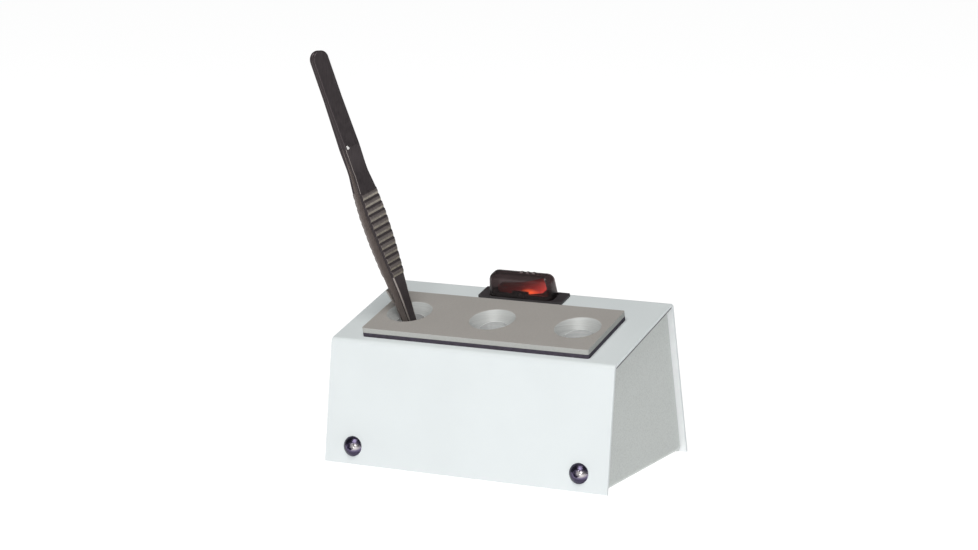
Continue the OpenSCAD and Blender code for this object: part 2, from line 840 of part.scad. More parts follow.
module cutoff_clip() {
    color("silver") on_deck() translate([cutoff_x, cutoff_s, bar_foot]) difference() {
        rotate([90, 0, 0]) linear_extrude(height = clip_w, center = true) difference() {
            union() {
                translate([0, -cutoff_r]) circle(r = cutoff_r + thread_gap + clip_t);
                translate([-cutoff_r - thread_gap - clip_t, -cutoff_r])
                    square([cutoff_d + 2 * thread_gap + 2 * clip_t, cutoff_r]);
                translate([0, -clip_t]) square([cutoff_r + clip_t + clip_foot_l, clip_t]);
            }
            translate([0, -cutoff_r]) circle(r = cutoff_r + thread_gap);
            translate([-cutoff_r - thread_gap, -cutoff_r])
                square([cutoff_d + 2 * thread_gap, cutoff_d]);
        }
        translate([clip_screw_x - cutoff_x, 0, -2 * clip_t])
            cylinder(r = small_r + thread_gap, h = 4 * clip_t);
    }
}

module thermal_cutoff() {
    color("lightsteelblue") on_deck() translate([cutoff_x, cutoff_s, bar_foot - cutoff_r - seat_gap])
        rotate([90, 0, 0]) cylinder(r = cutoff_r, h = cutoff_len, center = true);
}

module bar_screws() {
    head_d = 5.5;
    head_h = 2;
    af = 2;
    color("silver") at_bar_screws() mirror([0, 0, 1])
        button_screw(small_screw_d, screw_depth, head_d, head_h, af);
}

// Switch pieces

module switch_bezel() {
    color("black") at_switch() difference() {
        slab(bezel_l, bezel_d, bezel_corner, bezel_t);
        translate([0, 0, -cut])
            slab(boot_l + slide_gap, boot_d + slide_gap, boot_corner, bezel_t + 2 * cut);
    }
}

// The boot's outer form, or its inner one when it is drawn in by the wall
module boot_form(wall) {
    film = 0.1;
    lean = (boot_h - boot_foot_h) * tan(boot_draft);
    top_l = boot_l - 2 * lean - 2 * wall;
    top_d = boot_d - 2 * lean - 2 * wall;
    round_l = boot_round_l - wall / 2;
    round_d = boot_round_d - wall / 2;
    hull() {
        translate([0, 0, wall == 0 ? 0 : -cut])
            slab(boot_l - 2 * wall, boot_d - 2 * wall, boot_corner - wall, boot_foot_h);
        for (a = [0 : 22.5 : 90]) {
            in_l = round_l * (1 - cos(a));
            in_d = round_d * (1 - cos(a));
            corner = (boot_corner - wall) * (1 - 0.7 * sin(a));
            translate([0, 0, boot_h - wall - film - round_l * (1 - sin(a))])
                slab(top_l - 2 * in_l, top_d - 2 * in_d, corner, film);
        }
    }
}

module switch_boot() {
    bump_r = 0.8;
    bump_pitch = 3;
    color("dimgray", 0.6) at_switch() {
        difference() {
            boot_form(0);
            boot_form(boot_wall);
        }
        for (i = [-1 : 1]) {
            translate([i * bump_pitch, 0, boot_h - bump_r / 2])
                cylinder(r1 = bump_r, r2 = bump_r / 2, h = bump_r);
        }
    }
}

module switch_body() {
    flange_corner = 2;
    slot_h = 4;
    color("black") at_switch() difference() {
        union() {
            slab(flange_l, flange_d, flange_corner, flange_t);
            translate([0, 0, -body_h])
                linear_extrude(height = body_h) square([body_l, body_d], center = true);
            for (y = [-1, 1]) {
                block([ear_l, ear_t, 2 * ear_up], [0, y * (cavity_d + ear_t) / 2, 0]);
            }
        }
        difference() {
            block([cavity_l, cavity_d, 2 * -cavity_foot]);
            translate([cavity_l / 2 - lamp_seat, 0, lamp_n]) rotate([0, 90, 0])
                cylinder(r = lamp_r, h = lamp_seat + cut);
        }
        translate([0, 0, pivot_up]) rotate([90, 0, 0])
            cylinder(r = pin_r + thread_gap, h = 4 * body_d, center = true);
        for (i = [-1 : 1]) {
            block(
                [blade_t + 2 * seat_gap, blade_w + 2 * seat_gap, slot_h],
                [i * terminal_pitch, 0, -body_h]
            );
        }
    }
}

module rocker() {
    end_h = 5.2;
    dip_h = 4;
    under = 0.6;
    end_ease = 0.4;
    hub_wall = 1.2;
    hub_r = pin_r + hub_wall;
    stem_w = 2.8;
    half = rocker_l / 2;
    color("crimson") at_switch() translate([0, 0, pivot_up]) rotate([0, -rocker_tilt, 0])
        rotate([90, 0, 0]) linear_extrude(height = rocker_d, center = true) difference() {
            union() {
                polygon([
                    [-half + end_ease, -under], [half - end_ease, -under], [half, end_h],
                    [0, dip_h], [-half, end_h]
                ]);
                circle(r = hub_r);
                translate([-stem_w / 2, -stem_l]) square([stem_w, stem_l]);
            }
            circle(r = pin_r + thread_gap);
        }
}

module rocker_pin() {
    color("silver") at_switch() translate([0, 0, pivot_up]) rotate([90, 0, 0])
        cylinder(r = pin_r, h = cavity_d + 2 * ear_t, center = true);
}

module contact_lever() {
    color("gold") at_switch() translate([0, 0, lever_n]) rotate([0, lever_tilt, 0])
        block([lever_l, lever_d, lever_t]);
}

module switch_terminals() {
    post_gap = 0.3;
    drop = terminal_pitch * tan(lever_tilt) + lever_t / 2 / cos(lever_tilt);
    side_top = lever_n - drop - post_gap - blade_t / 2 * tan(lever_tilt);
    mid_top = lever_n - lever_t / 2 - post_gap;
    color("goldenrod") at_switch() for (i = [-1 : 1]) {
        top = i == 0 ? mid_top : side_top;
        translate([i * terminal_pitch - blade_t / 2, -blade_w / 2, terminal_foot])
            cube([blade_t, blade_w, top - terminal_foot]);
    }
}

module neon_lamp() {
    lamp_end = cavity_l / 2 - lamp_seat - seat_gap;
    color("orange") at_switch() translate([lamp_inner, 0, lamp_n]) rotate([0, 90, 0]) {
        translate([0, 0, lamp_r]) cylinder(r = lamp_r, h = lamp_end - lamp_inner - lamp_r);
        translate([0, 0, lamp_r]) sphere(r = lamp_r);
    }
}

// Inlet pieces

function prong_at(i) = [i * prong_spread, -socket_up + (i == 0 ? -prong_rise / 2 : prong_rise / 2)];

module socket_outline() {
    w = socket_w / 2;
    h = socket_h / 2;
    polygon([
        [-w, h], [w, h], [w, -h + socket_cut], [w - socket_cut, -h],
        [-w + socket_cut, -h], [-w, -h + socket_cut]
    ]);
}

module inlet() {
    flange_corner = 3;
    body_corner = 1.5;
    color("black") at_inlet() difference() {
        union() {
            slab(inlet_flange_w, inlet_flange_h, flange_corner, inlet_flange_t);
            translate([0, 0, -inlet_depth])
                slab(inlet_body_w, inlet_body_h, body_corner, inlet_depth + cut);
        }
        translate([0, -socket_up, -socket_depth])
            linear_extrude(height = socket_depth + inlet_flange_t + cut) socket_outline();
        translate([0, drawer_low, inlet_flange_t - drawer_l - slide_gap])
            linear_extrude(height = drawer_l + slide_gap + cut)
                square([drawer_w + 2 * slide_gap, drawer_h + 2 * slide_gap], center = true);
        for (i = [-1 : 1]) {
            translate(prong_at(i))
                block([prong_w + 2 * seat_gap, prong_h + 2 * seat_gap, 2 * inlet_depth + 2 * cut]);
        }
        for (x = [-1, 1]) {
            translate([x * inlet_pitch / 2, 0, -cut])
                cylinder(r = inlet_screw_r + slide_gap, h = inlet_flange_t + 2 * cut);
        }
    }
}

module inlet_pins() {
    back = -inlet_depth - prong_tail;
    color("silver") at_inlet() for (i = [-1 : 1]) {
        translate(prong_at(i)) translate([0, 0, back])
            linear_extrude(height = inlet_flange_t - prong_recess - back)
                square([prong_w, prong_h], center = true);
    }
}

module at_inlet_screws() {
    at_inlet() for (x = [-1, 1]) translate([x * inlet_pitch / 2, 0, 0]) children();
}

module inlet_screws() {
    head_d = 5.6;
    head_h = 1.8;
    af = 2;
    color("silver") at_inlet_screws() translate([0, 0, inlet_flange_t])
        button_screw(2 * inlet_screw_r, inlet_screw_l, head_d, head_h, af);
}

module inlet_nuts() {
    color("darkgray") at_inlet_screws() translate([0, 0, -sheet_t - inlet_nut_t])
        hex_nut(inlet_nut_af, inlet_nut_t, inlet_screw_r + thread_gap);
}

module fuse_drawer() {
    back = inlet_flange_t - drawer_l;
    pocket_gap = 0.1;
    end_gap = 0.2;
    notch_at = [0, drawer_low + lip_h / 2, inlet_flange_t + lip_t + lip_t / 2];
    color("dimgray") at_inlet() difference() {
        union() {
            translate([0, drawer_low, back]) linear_extrude(height = drawer_l + lip_t / 2)
                square([drawer_w, drawer_h], center = true);
            translate([0, drawer_low, inlet_flange_t]) slab(lip_w, lip_h, lip_corner, lip_t);
        }
        block(
            [fuse_l + 2 * end_gap, drawer_h, 2 * (fuse_r + pocket_gap)],
            [0, drawer_low - drawer_h / 2 + fuse_r, fuse_z]
        );
        block([finger_notch_w, finger_notch_h, 2 * lip_t], notch_at);
    }
}

module fuse() {
    cap_t = 0.2;
    glass_r = fuse_r - cap_t;
    fuse_y = drawer_low - seat_gap;
    color("lightgray") at_inlet() translate([-fuse_l / 2, fuse_y, fuse_z]) rotate([0, 90, 0])
        rotate_extrude() polygon([
            [0, 0], [fuse_r, 0], [fuse_r, fuse_cap_l], [glass_r, fuse_cap_l],
            [glass_r, fuse_l - fuse_cap_l], [fuse_r, fuse_l - fuse_cap_l], [fuse_r, fuse_l],
            [0, fuse_l]
        ]);
}

// Earth connection

module earth_stud() {
    color("silver") translate([stud_x, stud_y, floor_top]) cylinder(r = stud_r, h = stud_l);
}

module earth_lug() {
    barrel_l = 5;
    barrel_w = 2.8;
    color("gold") translate([stud_x, stud_y, floor_top]) difference() {
        union() {
            cylinder(r = lug_r, h = lug_t);
            translate([-lug_r - barrel_l, -barrel_w / 2, 0]) cube([barrel_l + lug_r / 2, barrel_w, lug_t]);
        }
        translate([0, 0, -cut]) cylinder(r = stud_r + thread_gap, h = lug_t + 2 * cut);
    }
}

module earth_nut() {
    color("darkgray") translate([stud_x, stud_y, floor_top + lug_t])
        hex_nut(earth_nut_af, earth_nut_t, stud_r + thread_gap);
}

// Wires

module live_wire() { color("saddlebrown") tube_along(live_route, wire_d); }
module switched_wire() { color("red") tube_along(switched_route, wire_d); }
module limiter_wire() { color("orangered") tube_along(limiter_route, wire_d); }
module heater_lead() { color("white") tube_along(heater_lead_route, wire_d); }
module neutral_wire() { color("royalblue") tube_along(neutral_route, wire_d); }
module earth_wire() { color("limegreen") tube_along(earth_route, wire_d); }

// Forceps

// Half the gap between the arms, z up from the tips: a shallow bow that closes at the heel
function arm_inner(z) =
    let (t = z / hinge_z)
    tip_gap * (1 - t) + hinge_half * t + 4 * arm_bow * t * (1 - t);

// An arm grows thicker from its tip to the grip, and again at its root by the heel
function arm_outer(z) =
    arm_inner(z) + tip_t + (arm_t - tip_t) * min(z / grip_z, 1)
        + heel_thin * max(0, 1 - (hinge_z - z) / root_l);

// One ridge of the grip, from its lower flank to its upper one
function ridge(i) =
    let (z = grip_z + i * ridge_pitch)
    [for (share = [[0, 0], [0.22, 1], [0.58, 1], [0.8, 0]])
        let (at = z + share[0] * ridge_pitch)
        [arm_outer(at) + share[1] * ridge_h, at]];

function arm_side() =
    concat(
        [for (k = [0 : 3]) let (z = grip_z * k / 4) [arm_outer(z), z]],
        [for (i = [0 : ridge_count - 1]) each ridge(i)],
        [for (k = [0 : 6]) let (z = grip_top + (hinge_z - grip_top) * k / 6) [arm_outer(z), z]],
        [for (k = [0 : 16]) let (z = hinge_z * (1 - k / 16)) [arm_inner(z), z]]
    );

// Outline of an arm across its width
function arm_front() =
    let (right = [
        [tip_w / 2 - tip_ease, 0], [tip_w / 2, 2 * tip_ease],
        [neck_w / 2, grip_z - neck_l], [grip_foot_w / 2, grip_z],
        [grip_w / 2, grip_z + grip_wide * grip_l], [(grip_w + waist_w) / 4, grip_top],
        [waist_w / 2, grip_top + grip_run], [heel_w / 2, hinge_z]
    ])
    concat(right, reversed([for (p = right) [-p.x, p.y]]));

// The right arm has side 1 and the left arm has side -1
module forceps_arm(side) {
    color("dimgray") at_forceps() intersection() {
        rotate([90, 0, 0]) linear_extrude(height = 2 * grip_w, center = true)
            polygon([for (p = arm_side()) [side * p.x, p.y]]);
        along_x(8 * arm_t + 8 * arm_bow) polygon(arm_front());
    }
}

module forceps_arm_left() forceps_arm(-1);
module forceps_arm_right() forceps_arm(1);

module forceps_heel() {
    foot = hinge_z + hinge_seam;
    end_r = heel_w / 2 - round_gap;
    end_half = heel_t / 2 - heel_thin;
    color("dimgray") at_forceps() intersection() {
        along_x(2 * heel_t) polygon(rounded(
            [[-heel_w / 2, foot], [heel_w / 2, foot], [heel_w / 2, forceps_l], [-heel_w / 2, forceps_l]],
            [0, 0, end_r, end_r]
        ));
        rotate([90, 0, 0]) linear_extrude(height = 2 * heel_w, center = true) polygon([
            [-heel_t / 2, foot], [heel_t / 2, foot], [end_half, foot + heel_l / 2], [end_half, forceps_l],
            [-end_half, forceps_l], [-end_half, foot + heel_l / 2]
        ]);
    }
}

wrap_cover();
chassis();
cover_screws();
clinch_nuts();
rubber_feet();
well_plate();
plate_gasket();
well_cup_left();
well_cup_centre();
well_cup_right();
insulating_washers();
ring_nuts();
heater_bar();
cartridge_heater();
grub_screws();
thermostat();
cutoff_clip();
thermal_cutoff();
bar_screws();
switch_bezel();
switch_boot();
switch_body();
rocker();
rocker_pin();
contact_lever();
switch_terminals();
neon_lamp();
inlet();
inlet_pins();
inlet_screws();
inlet_nuts();
fuse_drawer();
fuse();
earth_stud();
earth_nut();
earth_lug();
live_wire();
switched_wire();
limiter_wire();
heater_lead();
neutral_wire();
earth_wire();
forceps_heel();
forceps_arm_left();
forceps_arm_right();
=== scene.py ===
import json
import math

import bmesh
import bpy
from mathutils import Matrix, Vector


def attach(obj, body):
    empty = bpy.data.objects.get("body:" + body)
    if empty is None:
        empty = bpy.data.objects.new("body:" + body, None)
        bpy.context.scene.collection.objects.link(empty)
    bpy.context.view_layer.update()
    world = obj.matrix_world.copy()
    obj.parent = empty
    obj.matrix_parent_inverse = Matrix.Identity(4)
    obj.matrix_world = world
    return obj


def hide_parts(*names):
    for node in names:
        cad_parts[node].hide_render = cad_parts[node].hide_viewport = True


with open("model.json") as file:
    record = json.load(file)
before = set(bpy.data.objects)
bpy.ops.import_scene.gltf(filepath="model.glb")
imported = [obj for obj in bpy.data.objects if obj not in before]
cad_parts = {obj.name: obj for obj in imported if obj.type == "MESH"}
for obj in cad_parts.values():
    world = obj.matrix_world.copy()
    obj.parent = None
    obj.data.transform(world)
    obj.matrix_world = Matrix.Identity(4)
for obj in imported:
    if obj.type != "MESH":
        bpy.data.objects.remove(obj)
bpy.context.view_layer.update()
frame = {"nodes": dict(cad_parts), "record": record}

# Sizes of the pieces are in millimetres and degrees, the scene itself is in metres

# Case sizes
CASE_W = 140.0
FRONT_H = 55.6
FRONT_LEAN = 7.4
DECK_SLOPE = 15.0
DECK_LEN = 66.9
SHEET_T = 1.5
SHEET_SOFT = 0.3
BEND_R = 2.5
BEND_STEPS = 8
SIDE_INSET = 2.9
# Dark strips that stand in for the shadow line under the deck's side edges
SHADOW_STRIP_T = 0.45
SHADOW_STRIP_GAP = 0.05
SHADOW_STRIP_SOFT = 0.12
FOOT_H = 2.0
FOOT_D = 12.0
FOOT_SETBACK = 18.0
FOOT_SOFT = 0.5
TREAD_INSET = 2.2
TREAD_DEPTH = 0.6

# Cover screw sizes
SCREW_D = 4.8
SCREW_HEAD_D = 9.2
SCREW_HEAD_H = 2.6
SCREW_LEN = 8.0
SCREW_SOCKET = 3.1
SCREW_X = 56.0
SCREW_UP = 8.2
SCREW_SOFT = 0.09
SOCKET_FLOOR_SHARE = 0.35
# Place and squash of the painted highlight on the cover screws' heads
HIGHLIGHT_SIDE = 1.6
HIGHLIGHT_UP = 0.2
HIGHLIGHT_SQUASH = 1.75

# Well sizes
PLATE_W = 112.0
PLATE_D = 41.0
PLATE_T = 2.4
PLATE_CORNER = 1.0
PLATE_SOFT = 0.18
GASKET_T = 2.0
GASKET_SOFT = 0.15
WELL_PITCH = 42.0
WELL_S = 24.7
WELLS = {"left": -WELL_PITCH, "centre": 0.0, "right": WELL_PITCH}
MOUTH_R = 10.5
MOUTH_SOFT = 0.5
BORE_R = 6.35
CUP_R = 9.5
CUP_GAP = 0.5
CUP_SOFT = 0.12
WELL_FLOOR = -19.6
CUP_FOOT = -21.6
PLATE_TOP = GASKET_T + PLATE_T
CONE_TOP_R = MOUTH_R - PLATE_T
CONE_FOOT = PLATE_TOP - (MOUTH_R - BORE_R)

# Switch sizes
SWITCH_X = -0.6
SWITCH_S = 58.7
BEZEL_L = 42.4
BEZEL_D = 10.8
BEZEL_T = 1.3
BEZEL_CORNER = 1.0
BEZEL_SOFT = 0.2
BOOT_L = 32.2
BOOT_D = 9.4
BOOT_DRAFT = 4.0
BOOT_H = 12.0
BOOT_FOOT_H = 2.6
BOOT_WALL = 0.8
BOOT_CORNER = 2.6
BOOT_ROUND_L = 3.3
BOOT_ROUND_D = 2.9
BUMPS_X = (0.0, 3.0, 6.0)
BUMP_Y = 0.8
BUMP_R = 1.2
BUMP_TOP_R = 0.9
BUMP_SINK = 0.5
BUMP_H = 0.45
BUMP_SOFT = 0.4
BODY_L = 25.6
BODY_D = 6.4
ROCKER_L = 22.4
ROCKER_D = 4.4
ROCKER_END = 5.2
ROCKER_DIP = 4.0
ROCKER_BEND = 4.0
ROCKER_UNDER = 0.6
ROCKER_SOFT = 0.45
ROCKER_TILT = 10.0
PIVOT_UP = 2.4
STEM_W = 2.8
STEM_L = 8.7
STEM_SOFT = 0.2
SLIDE_GAP = 0.3
GLOW_LEFT = -11.0
GLOW_RIGHT = 12.0
LAMP_SQUEEZE = 0.42
LAMP_SPOT = (4.0, 15.1, 75.7)
LAMP_REACH = 2.1

# Inlet sizes
INLET_X = -28.0
INLET_DOWN = 47.0
INLET_FLANGE_W = 48.0
INLET_FLANGE_H = 33.0
INLET_FLANGE_T = 2.4
INLET_FLANGE_CORNER = 3.0
INLET_FLANGE_SOFT = 0.5
INLET_BODY_W = 28.0
INLET_BODY_H = 31.0
INLET_BODY_CORNER = 1.5
INLET_DEPTH = 17.0
INLET_SOFT = 0.2
INLET_PITCH = 40.0
INLET_SCREW_D = 3.0
INLET_SCREW_LEN = 8.0
INLET_SCREW_HEAD_D = 5.6
INLET_SCREW_HEAD_H = 1.8
INLET_SCREW_SOCKET = 2.0
SOCKET_W = 24.2
SOCKET_H = 16.6
SOCKET_CUT = 4.5
SOCKET_CORNER = 0.8
SOCKET_UP = 6.0
SOCKET_DEPTH = 13.0
PRONG_W = 2.0
PRONG_H = 4.0
PRONG_LOW = -23.0
PRONG_TOP = -0.6
PRONG_TIP = 0.7
PRONG_SOFT = 0.15
PRONGS = ((-7.0, -4.0), (0.0, -8.0), (7.0, -4.0))
DRAWER_DOWN = 10.6
DRAWER_W = 22.0
DRAWER_H = 7.4
DRAWER_L = 16.0
DRAWER_SOFT = 0.12
LIP_W = 24.0
LIP_H = 9.0
LIP_T = 1.6
LIP_CORNER = 1.0
LIP_SOFT = 0.3
NOTCH_W = 8.0
NOTCH_H = 3.0
NOTCH_CORNER = 0.8
FUSE_R = 2.6
FUSE_L = 20.0
FUSE_Z = -8.5
FUSE_SIT = 0.05
FUSE_ROOM = 0.2
FUSE_CAP_L = 5.0
FUSE_CAP_T = 0.2
FUSE_CAP_SOFT = 0.35
FUSE_GLASS_T = 0.5
FUSE_GLASS_IN = 0.6
FUSE_WIRE_R = 0.25

# Forceps sizes
FORCEPS_L = 150.5
FORCEPS_LEAN = 12.2
FORCEPS_TURN = 21.0
FORCEPS_OFF = -1.0
HINGE_Z = 105.0
HINGE_SEAM = 0.05
HINGE_HALF = 0.1
HEEL_W = 8.2
HEEL_THIN = 0.9
HEEL_FLAT = 0.1
HEEL_EDGE = 0.35
ROOT_L = 10.0
ARM_T = 1.6
ARM_BOW = 1.7
ARM_ROUND = 0.75
ARM_EDGE = 0.3
ARM_SOFT = 0.12
TIP_T = 1.2
TIP_GAP = 1.1
TIP_CLEAR = 0.4
GRIP_Z = 41.9
RIDGE_COUNT = 12
RIDGE_PITCH = 3.5
RIDGE_H = 0.6
RIDGE_END = 0.2
GRIP_TOP = GRIP_Z + RIDGE_COUNT * RIDGE_PITCH
BEAD_R = 0.9
BEAD_T = 0.6
BEAD_SOFT = 0.25
BEAD_IN = 1.3
BEAD_UP = 0.4
BEAD_TURN = -30.0
LUG_TOP = 36.0
LUG_W = 1.9
LUG_H = 7.0
LUG_SINK = 0.2
LUG_POINT = 0.3
LUG_SOFT = 0.25

# Each ridge's outline: share of the pitch, share of the height
RIDGE_SHAPE = ((0.0, 0.0), (0.3, 0.9), (0.45, 1.0), (0.7, 0.95), (0.88, 0.0))

# Width of the arms at heights above the tips, and the heights that the grip leaves plain
ARM_WIDTHS = (
    (0.0, 1.8), (1.0, 2.8), (33.9, 5.4), (41.9, 6.7),
    (58.0, 9.1), (71.3, 10.1), (83.9, 9.3), (91.9, 7.8), (105.0, 8.2),
)
LEVELS_BELOW_GRIP = (0.0, 1.0, 10.0, 19.0, 27.0, 33.9, 38.0)
LEVELS_ABOVE_GRIP = (83.9, 88.0, 91.9, 95.0, 100.0, HINGE_Z)

# How far a cutter, or an end that sits in another piece, reaches past a face
OVER = 1.0

# Frames of the panels and pieces


def moved(x, y, z):
    return Matrix.Translation((x, y, z))


def turned(degrees, axis):
    return Matrix.Rotation(math.radians(degrees), 4, axis)


def tan(degrees):
    return math.tan(math.radians(degrees))


def cos(degrees):
    return math.cos(math.radians(degrees))


def sin(degrees):
    return math.sin(math.radians(degrees))


REAR_H = FRONT_H + DECK_LEN * sin(DECK_SLOPE)
FRONT_RUN = FRONT_H * tan(FRONT_LEAN)
DECK_RUN = DECK_LEN * cos(DECK_SLOPE)
DECK_RISE = DECK_LEN * sin(DECK_SLOPE)
REAR_RUN = REAR_H * tan(DECK_SLOPE)
BASE_D = FRONT_RUN + DECK_RUN + REAR_RUN
FRONT_Y = -BASE_D / 2
REAR_Y = BASE_D / 2
FOLD_Y = FRONT_Y + FRONT_RUN
FOLD_Z = FOOT_H + FRONT_H
FRONT_BEND = BEND_R * tan((90.0 - FRONT_LEAN - DECK_SLOPE) / 2)
TIP_DEPTH = (CONE_FOOT - WELL_FLOOR - TIP_CLEAR) / cos(FORCEPS_LEAN)
TIP_REACH = TIP_DEPTH - (TIP_GAP + TIP_T) * tan(FORCEPS_LEAN)

GROUND = Matrix.Identity(4)
DECK = moved(0, FOLD_Y, FOLD_Z) @ turned(DECK_SLOPE, "X")
FRONT = moved(0, FRONT_Y, FOOT_H) @ turned(-FRONT_LEAN, "X")
REAR = moved(0, REAR_Y, FOOT_H) @ turned(DECK_SLOPE, "X")
SWITCH = DECK @ moved(SWITCH_X, SWITCH_S, 0)
ROCKER = SWITCH @ moved(0, 0, PIVOT_UP) @ turned(-ROCKER_TILT, "Y")
INLET = DECK @ moved(INLET_X, DECK_LEN, -INLET_DOWN) @ turned(-90, "X")
FORCEPS = (
    DECK
    @ moved(-WELL_PITCH + FORCEPS_OFF, WELL_S, CONE_FOOT)
    @ turned(-FORCEPS_LEAN, "Y")
    @ turned(-FORCEPS_TURN, "Z")
    @ moved(0, 0, -TIP_REACH)
)

# Finished pieces are in metres
MILLI = 0.001
MM = Matrix.Scale(MILLI, 4)


def in_mm(point):
    return point * 1000.0


def direction(place, axis):
    """An axis of a frame, as a direction in the scene."""
    return place.to_3x3() @ Vector(axis)


# Camera, lights and floor, placed in metres

CAMERA_PLACE = (0.5232, -1.0683, 0.2956)
CAMERA_TURN = (math.radians(80.0), 0.0, 0.4626)
LENS = 98.49
SENSOR_W = 36.0
LIGHT_TARGET = (0.0, 0.0, 0.06)
FLOOR_SIZE = 24.0


def add_camera():
    bpy.ops.object.camera_add(location=CAMERA_PLACE, rotation=CAMERA_TURN)
    camera = bpy.context.object
    camera.data.lens = LENS
    camera.data.sensor_width = SENSOR_W
    camera.data.sensor_fit = "HORIZONTAL"
    bpy.context.scene.camera = camera


def add_soft_box(name, place, size, watts, tint):
    aim = Vector(LIGHT_TARGET) - Vector(place)
    bpy.ops.object.light_add(
        type="AREA",
        location=place,
        rotation=aim.to_track_quat("-Z", "Y").to_euler(),
    )
    lamp = bpy.context.object
    lamp.name = name
    lamp.data.shape = "RECTANGLE"
    lamp.data.size = size[0]
    lamp.data.size_y = size[1]
    lamp.data.energy = watts
    lamp.data.color = tint


def light_studio():
    world = bpy.data.worlds.new("studio")
    bpy.context.scene.world = world
    world.use_nodes = True
    sky = world.node_tree.nodes["Background"]
    sky.inputs["Color"].default_value = (0.93, 0.97, 1.0, 1.0)
    sky.inputs["Strength"].default_value = 0.06
    add_soft_box("key", (0.1, -0.85, 1.6), size=(0.9, 0.9), watts=22.2, tint=(1.0, 1.0, 0.975))
    add_soft_box("flash", (0.55, -1.14, 0.42), size=(0.16, 0.12), watts=2.2, tint=(1.0, 1.0, 1.0))
    bpy.context.scene.view_settings.view_transform = "Standard"


def lay_floor(finish):
    deselect()
    bpy.ops.mesh.primitive_plane_add(size=FLOOR_SIZE)
    floor = bpy.context.object
    floor.name = "floor"
    floor.data.materials.append(finish)


# Finishes


class Finish:
    """A material with its shader and small helpers for procedural detail."""

    def __init__(self, name, color, roughness, metallic=0.0):
        self.material = bpy.data.materials.new(name)
        self.material.use_nodes = True
        self.tree = self.material.node_tree
        self.shader = self.tree.nodes["Principled BSDF"]
        self.set("Base Color", (*color, 1.0))
        self.set("Roughness", roughness)
        self.set("Metallic", metallic)
        self.coords = self.tree.nodes.new("ShaderNodeTexCoord").outputs["Object"]

    def set(self, socket, value):
        self.shader.inputs[socket].default_value = value

    def node(self, kind, **values):
        made = self.tree.nodes.new(kind)
        for key, value in values.items():
            setattr(made, key, value)
        return made

    def link(self, output, target):
        self.tree.links.new(output, target)

    def stretch(self, scale, turn=(0.0, 0.0, 0.0)):
        mapping = self.node("ShaderNodeMapping")
        self.link(self.coords, mapping.inputs["Vector"])
        mapping.inputs["Rotation"].default_value = [math.radians(a) for a in turn]
        mapping.inputs["Scale"].default_value = scale
        return mapping.outputs["Vector"]

    def split(self, vector):
        made = self.node("ShaderNodeSeparateXYZ")
        self.link(vector, made.inputs["Vector"])
        return made.outputs

    def measure(self, operation, vector, point):
        """The distance from a point, or the product with a direction."""
        made = self.node("ShaderNodeVectorMath", operation=operation)
        self.link(vector, made.inputs[0])
        made.inputs[1].default_value = point
        return made.outputs["Value"]

    def span(self, value, low, high, to_low=0.0, to_high=1.0):
        made = self.node("ShaderNodeMapRange")
        self.link(value, made.inputs["Value"])
        made.inputs["From Min"].default_value = low
        made.inputs["From Max"].default_value = high
        made.inputs["To Min"].default_value = to_low
        made.inputs["To Max"].default_value = to_high
        return made.outputs["Result"]

    def noise(self, scale, detail=3.0, vector=None, roughness=0.5):
        made = self.node("ShaderNodeTexNoise")
        self.link(vector or self.coords, made.inputs["Vector"])
        made.inputs["Scale"].default_value = scale
        made.inputs["Detail"].default_value = detail
        made.inputs["Roughness"].default_value = roughness
        return made.outputs["Fac"]

    def ramp(self, factor, *stops):
        made = self.node("ShaderNodeValToRGB")
        self.link(factor, made.inputs["Fac"])
        elements = made.color_ramp.elements
        for index, (position, color) in enumerate((stops[0], stops[-1])):
            elements[index].position = position
            elements[index].color = (*color, 1.0)
        for position, color in stops[1:-1]:
            extra = elements.new(position)
            extra.color = (*color, 1.0)
        return made.outputs["Color"]

    def tint(self, factor, *stops):
        self.link(self.ramp(factor, *stops), self.shader.inputs["Base Color"])

    def gloss(self, factor, low, high):
        grey = self.ramp(factor, (0.3, (low, low, low)), (0.7, (high, high, high)))
        self.link(grey, self.shader.inputs["Roughness"])

    def bump(self, factor, strength, depth):
        made = self.node("ShaderNodeBump")
        made.inputs["Strength"].default_value = strength
        made.inputs["Distance"].default_value = MILLI * depth
        self.link(factor, made.inputs["Height"])
        self.link(made.outputs["Normal"], self.shader.inputs["Normal"])


def shade(color, factor):
    return tuple(min(1.0, channel * factor) for channel in color)


def floor_finish():
    made = Finish("pale_floor", (0.3, 0.3, 0.3), roughness=0.9)
    made.set("Specular IOR Level", 0.1)
    made.set("Emission Color", (1.0, 1.0, 1.0, 1.0))
    made.set("Emission Strength", 0.95)
    return made.material


def cover_paint(name, white):
    """Smooth off-white paint with a faint orange peel."""
    made = Finish(name, white, roughness=0.4)
    made.tint(made.noise(26.0, detail=4.0), (0.3, shade(white, 0.975)), (0.7, shade(white, 1.015)))
    made.gloss(made.noise(60.0), low=0.36, high=0.46)
    made.bump(made.noise(1100.0, detail=2.0), strength=0.12, depth=0.05)
    return made.material


def chassis_paint():
    """Light grey paint with a fine speckled texture."""
    grey = (0.645, 0.678, 0.66)
    made = Finish("chassis_paint", grey, roughness=0.55)
    speckle = made.noise(1500.0, roughness=0.7)
    made.tint(speckle, (0.28, shade(grey, 0.84)), (0.5, grey), (0.75, shade(grey, 1.08)))
    made.gloss(made.noise(90.0), low=0.5, high=0.62)
    made.bump(speckle, strength=0.25, depth=0.06)
    return made.material


def plate_metal(name, grey):
    """Blasted grey aluminium."""
    made = Finish(name, grey, roughness=0.62, metallic=0.15)
    grain = made.noise(2600.0, detail=4.0, roughness=0.75)
    made.tint(grain, (0.25, shade(grey, 0.82)), (0.5, grey), (0.78, shade(grey, 1.16)))
    made.gloss(made.noise(70.0), low=0.55, high=0.68)
    made.bump(grain, strength=0.3, depth=0.04)
    return made.material


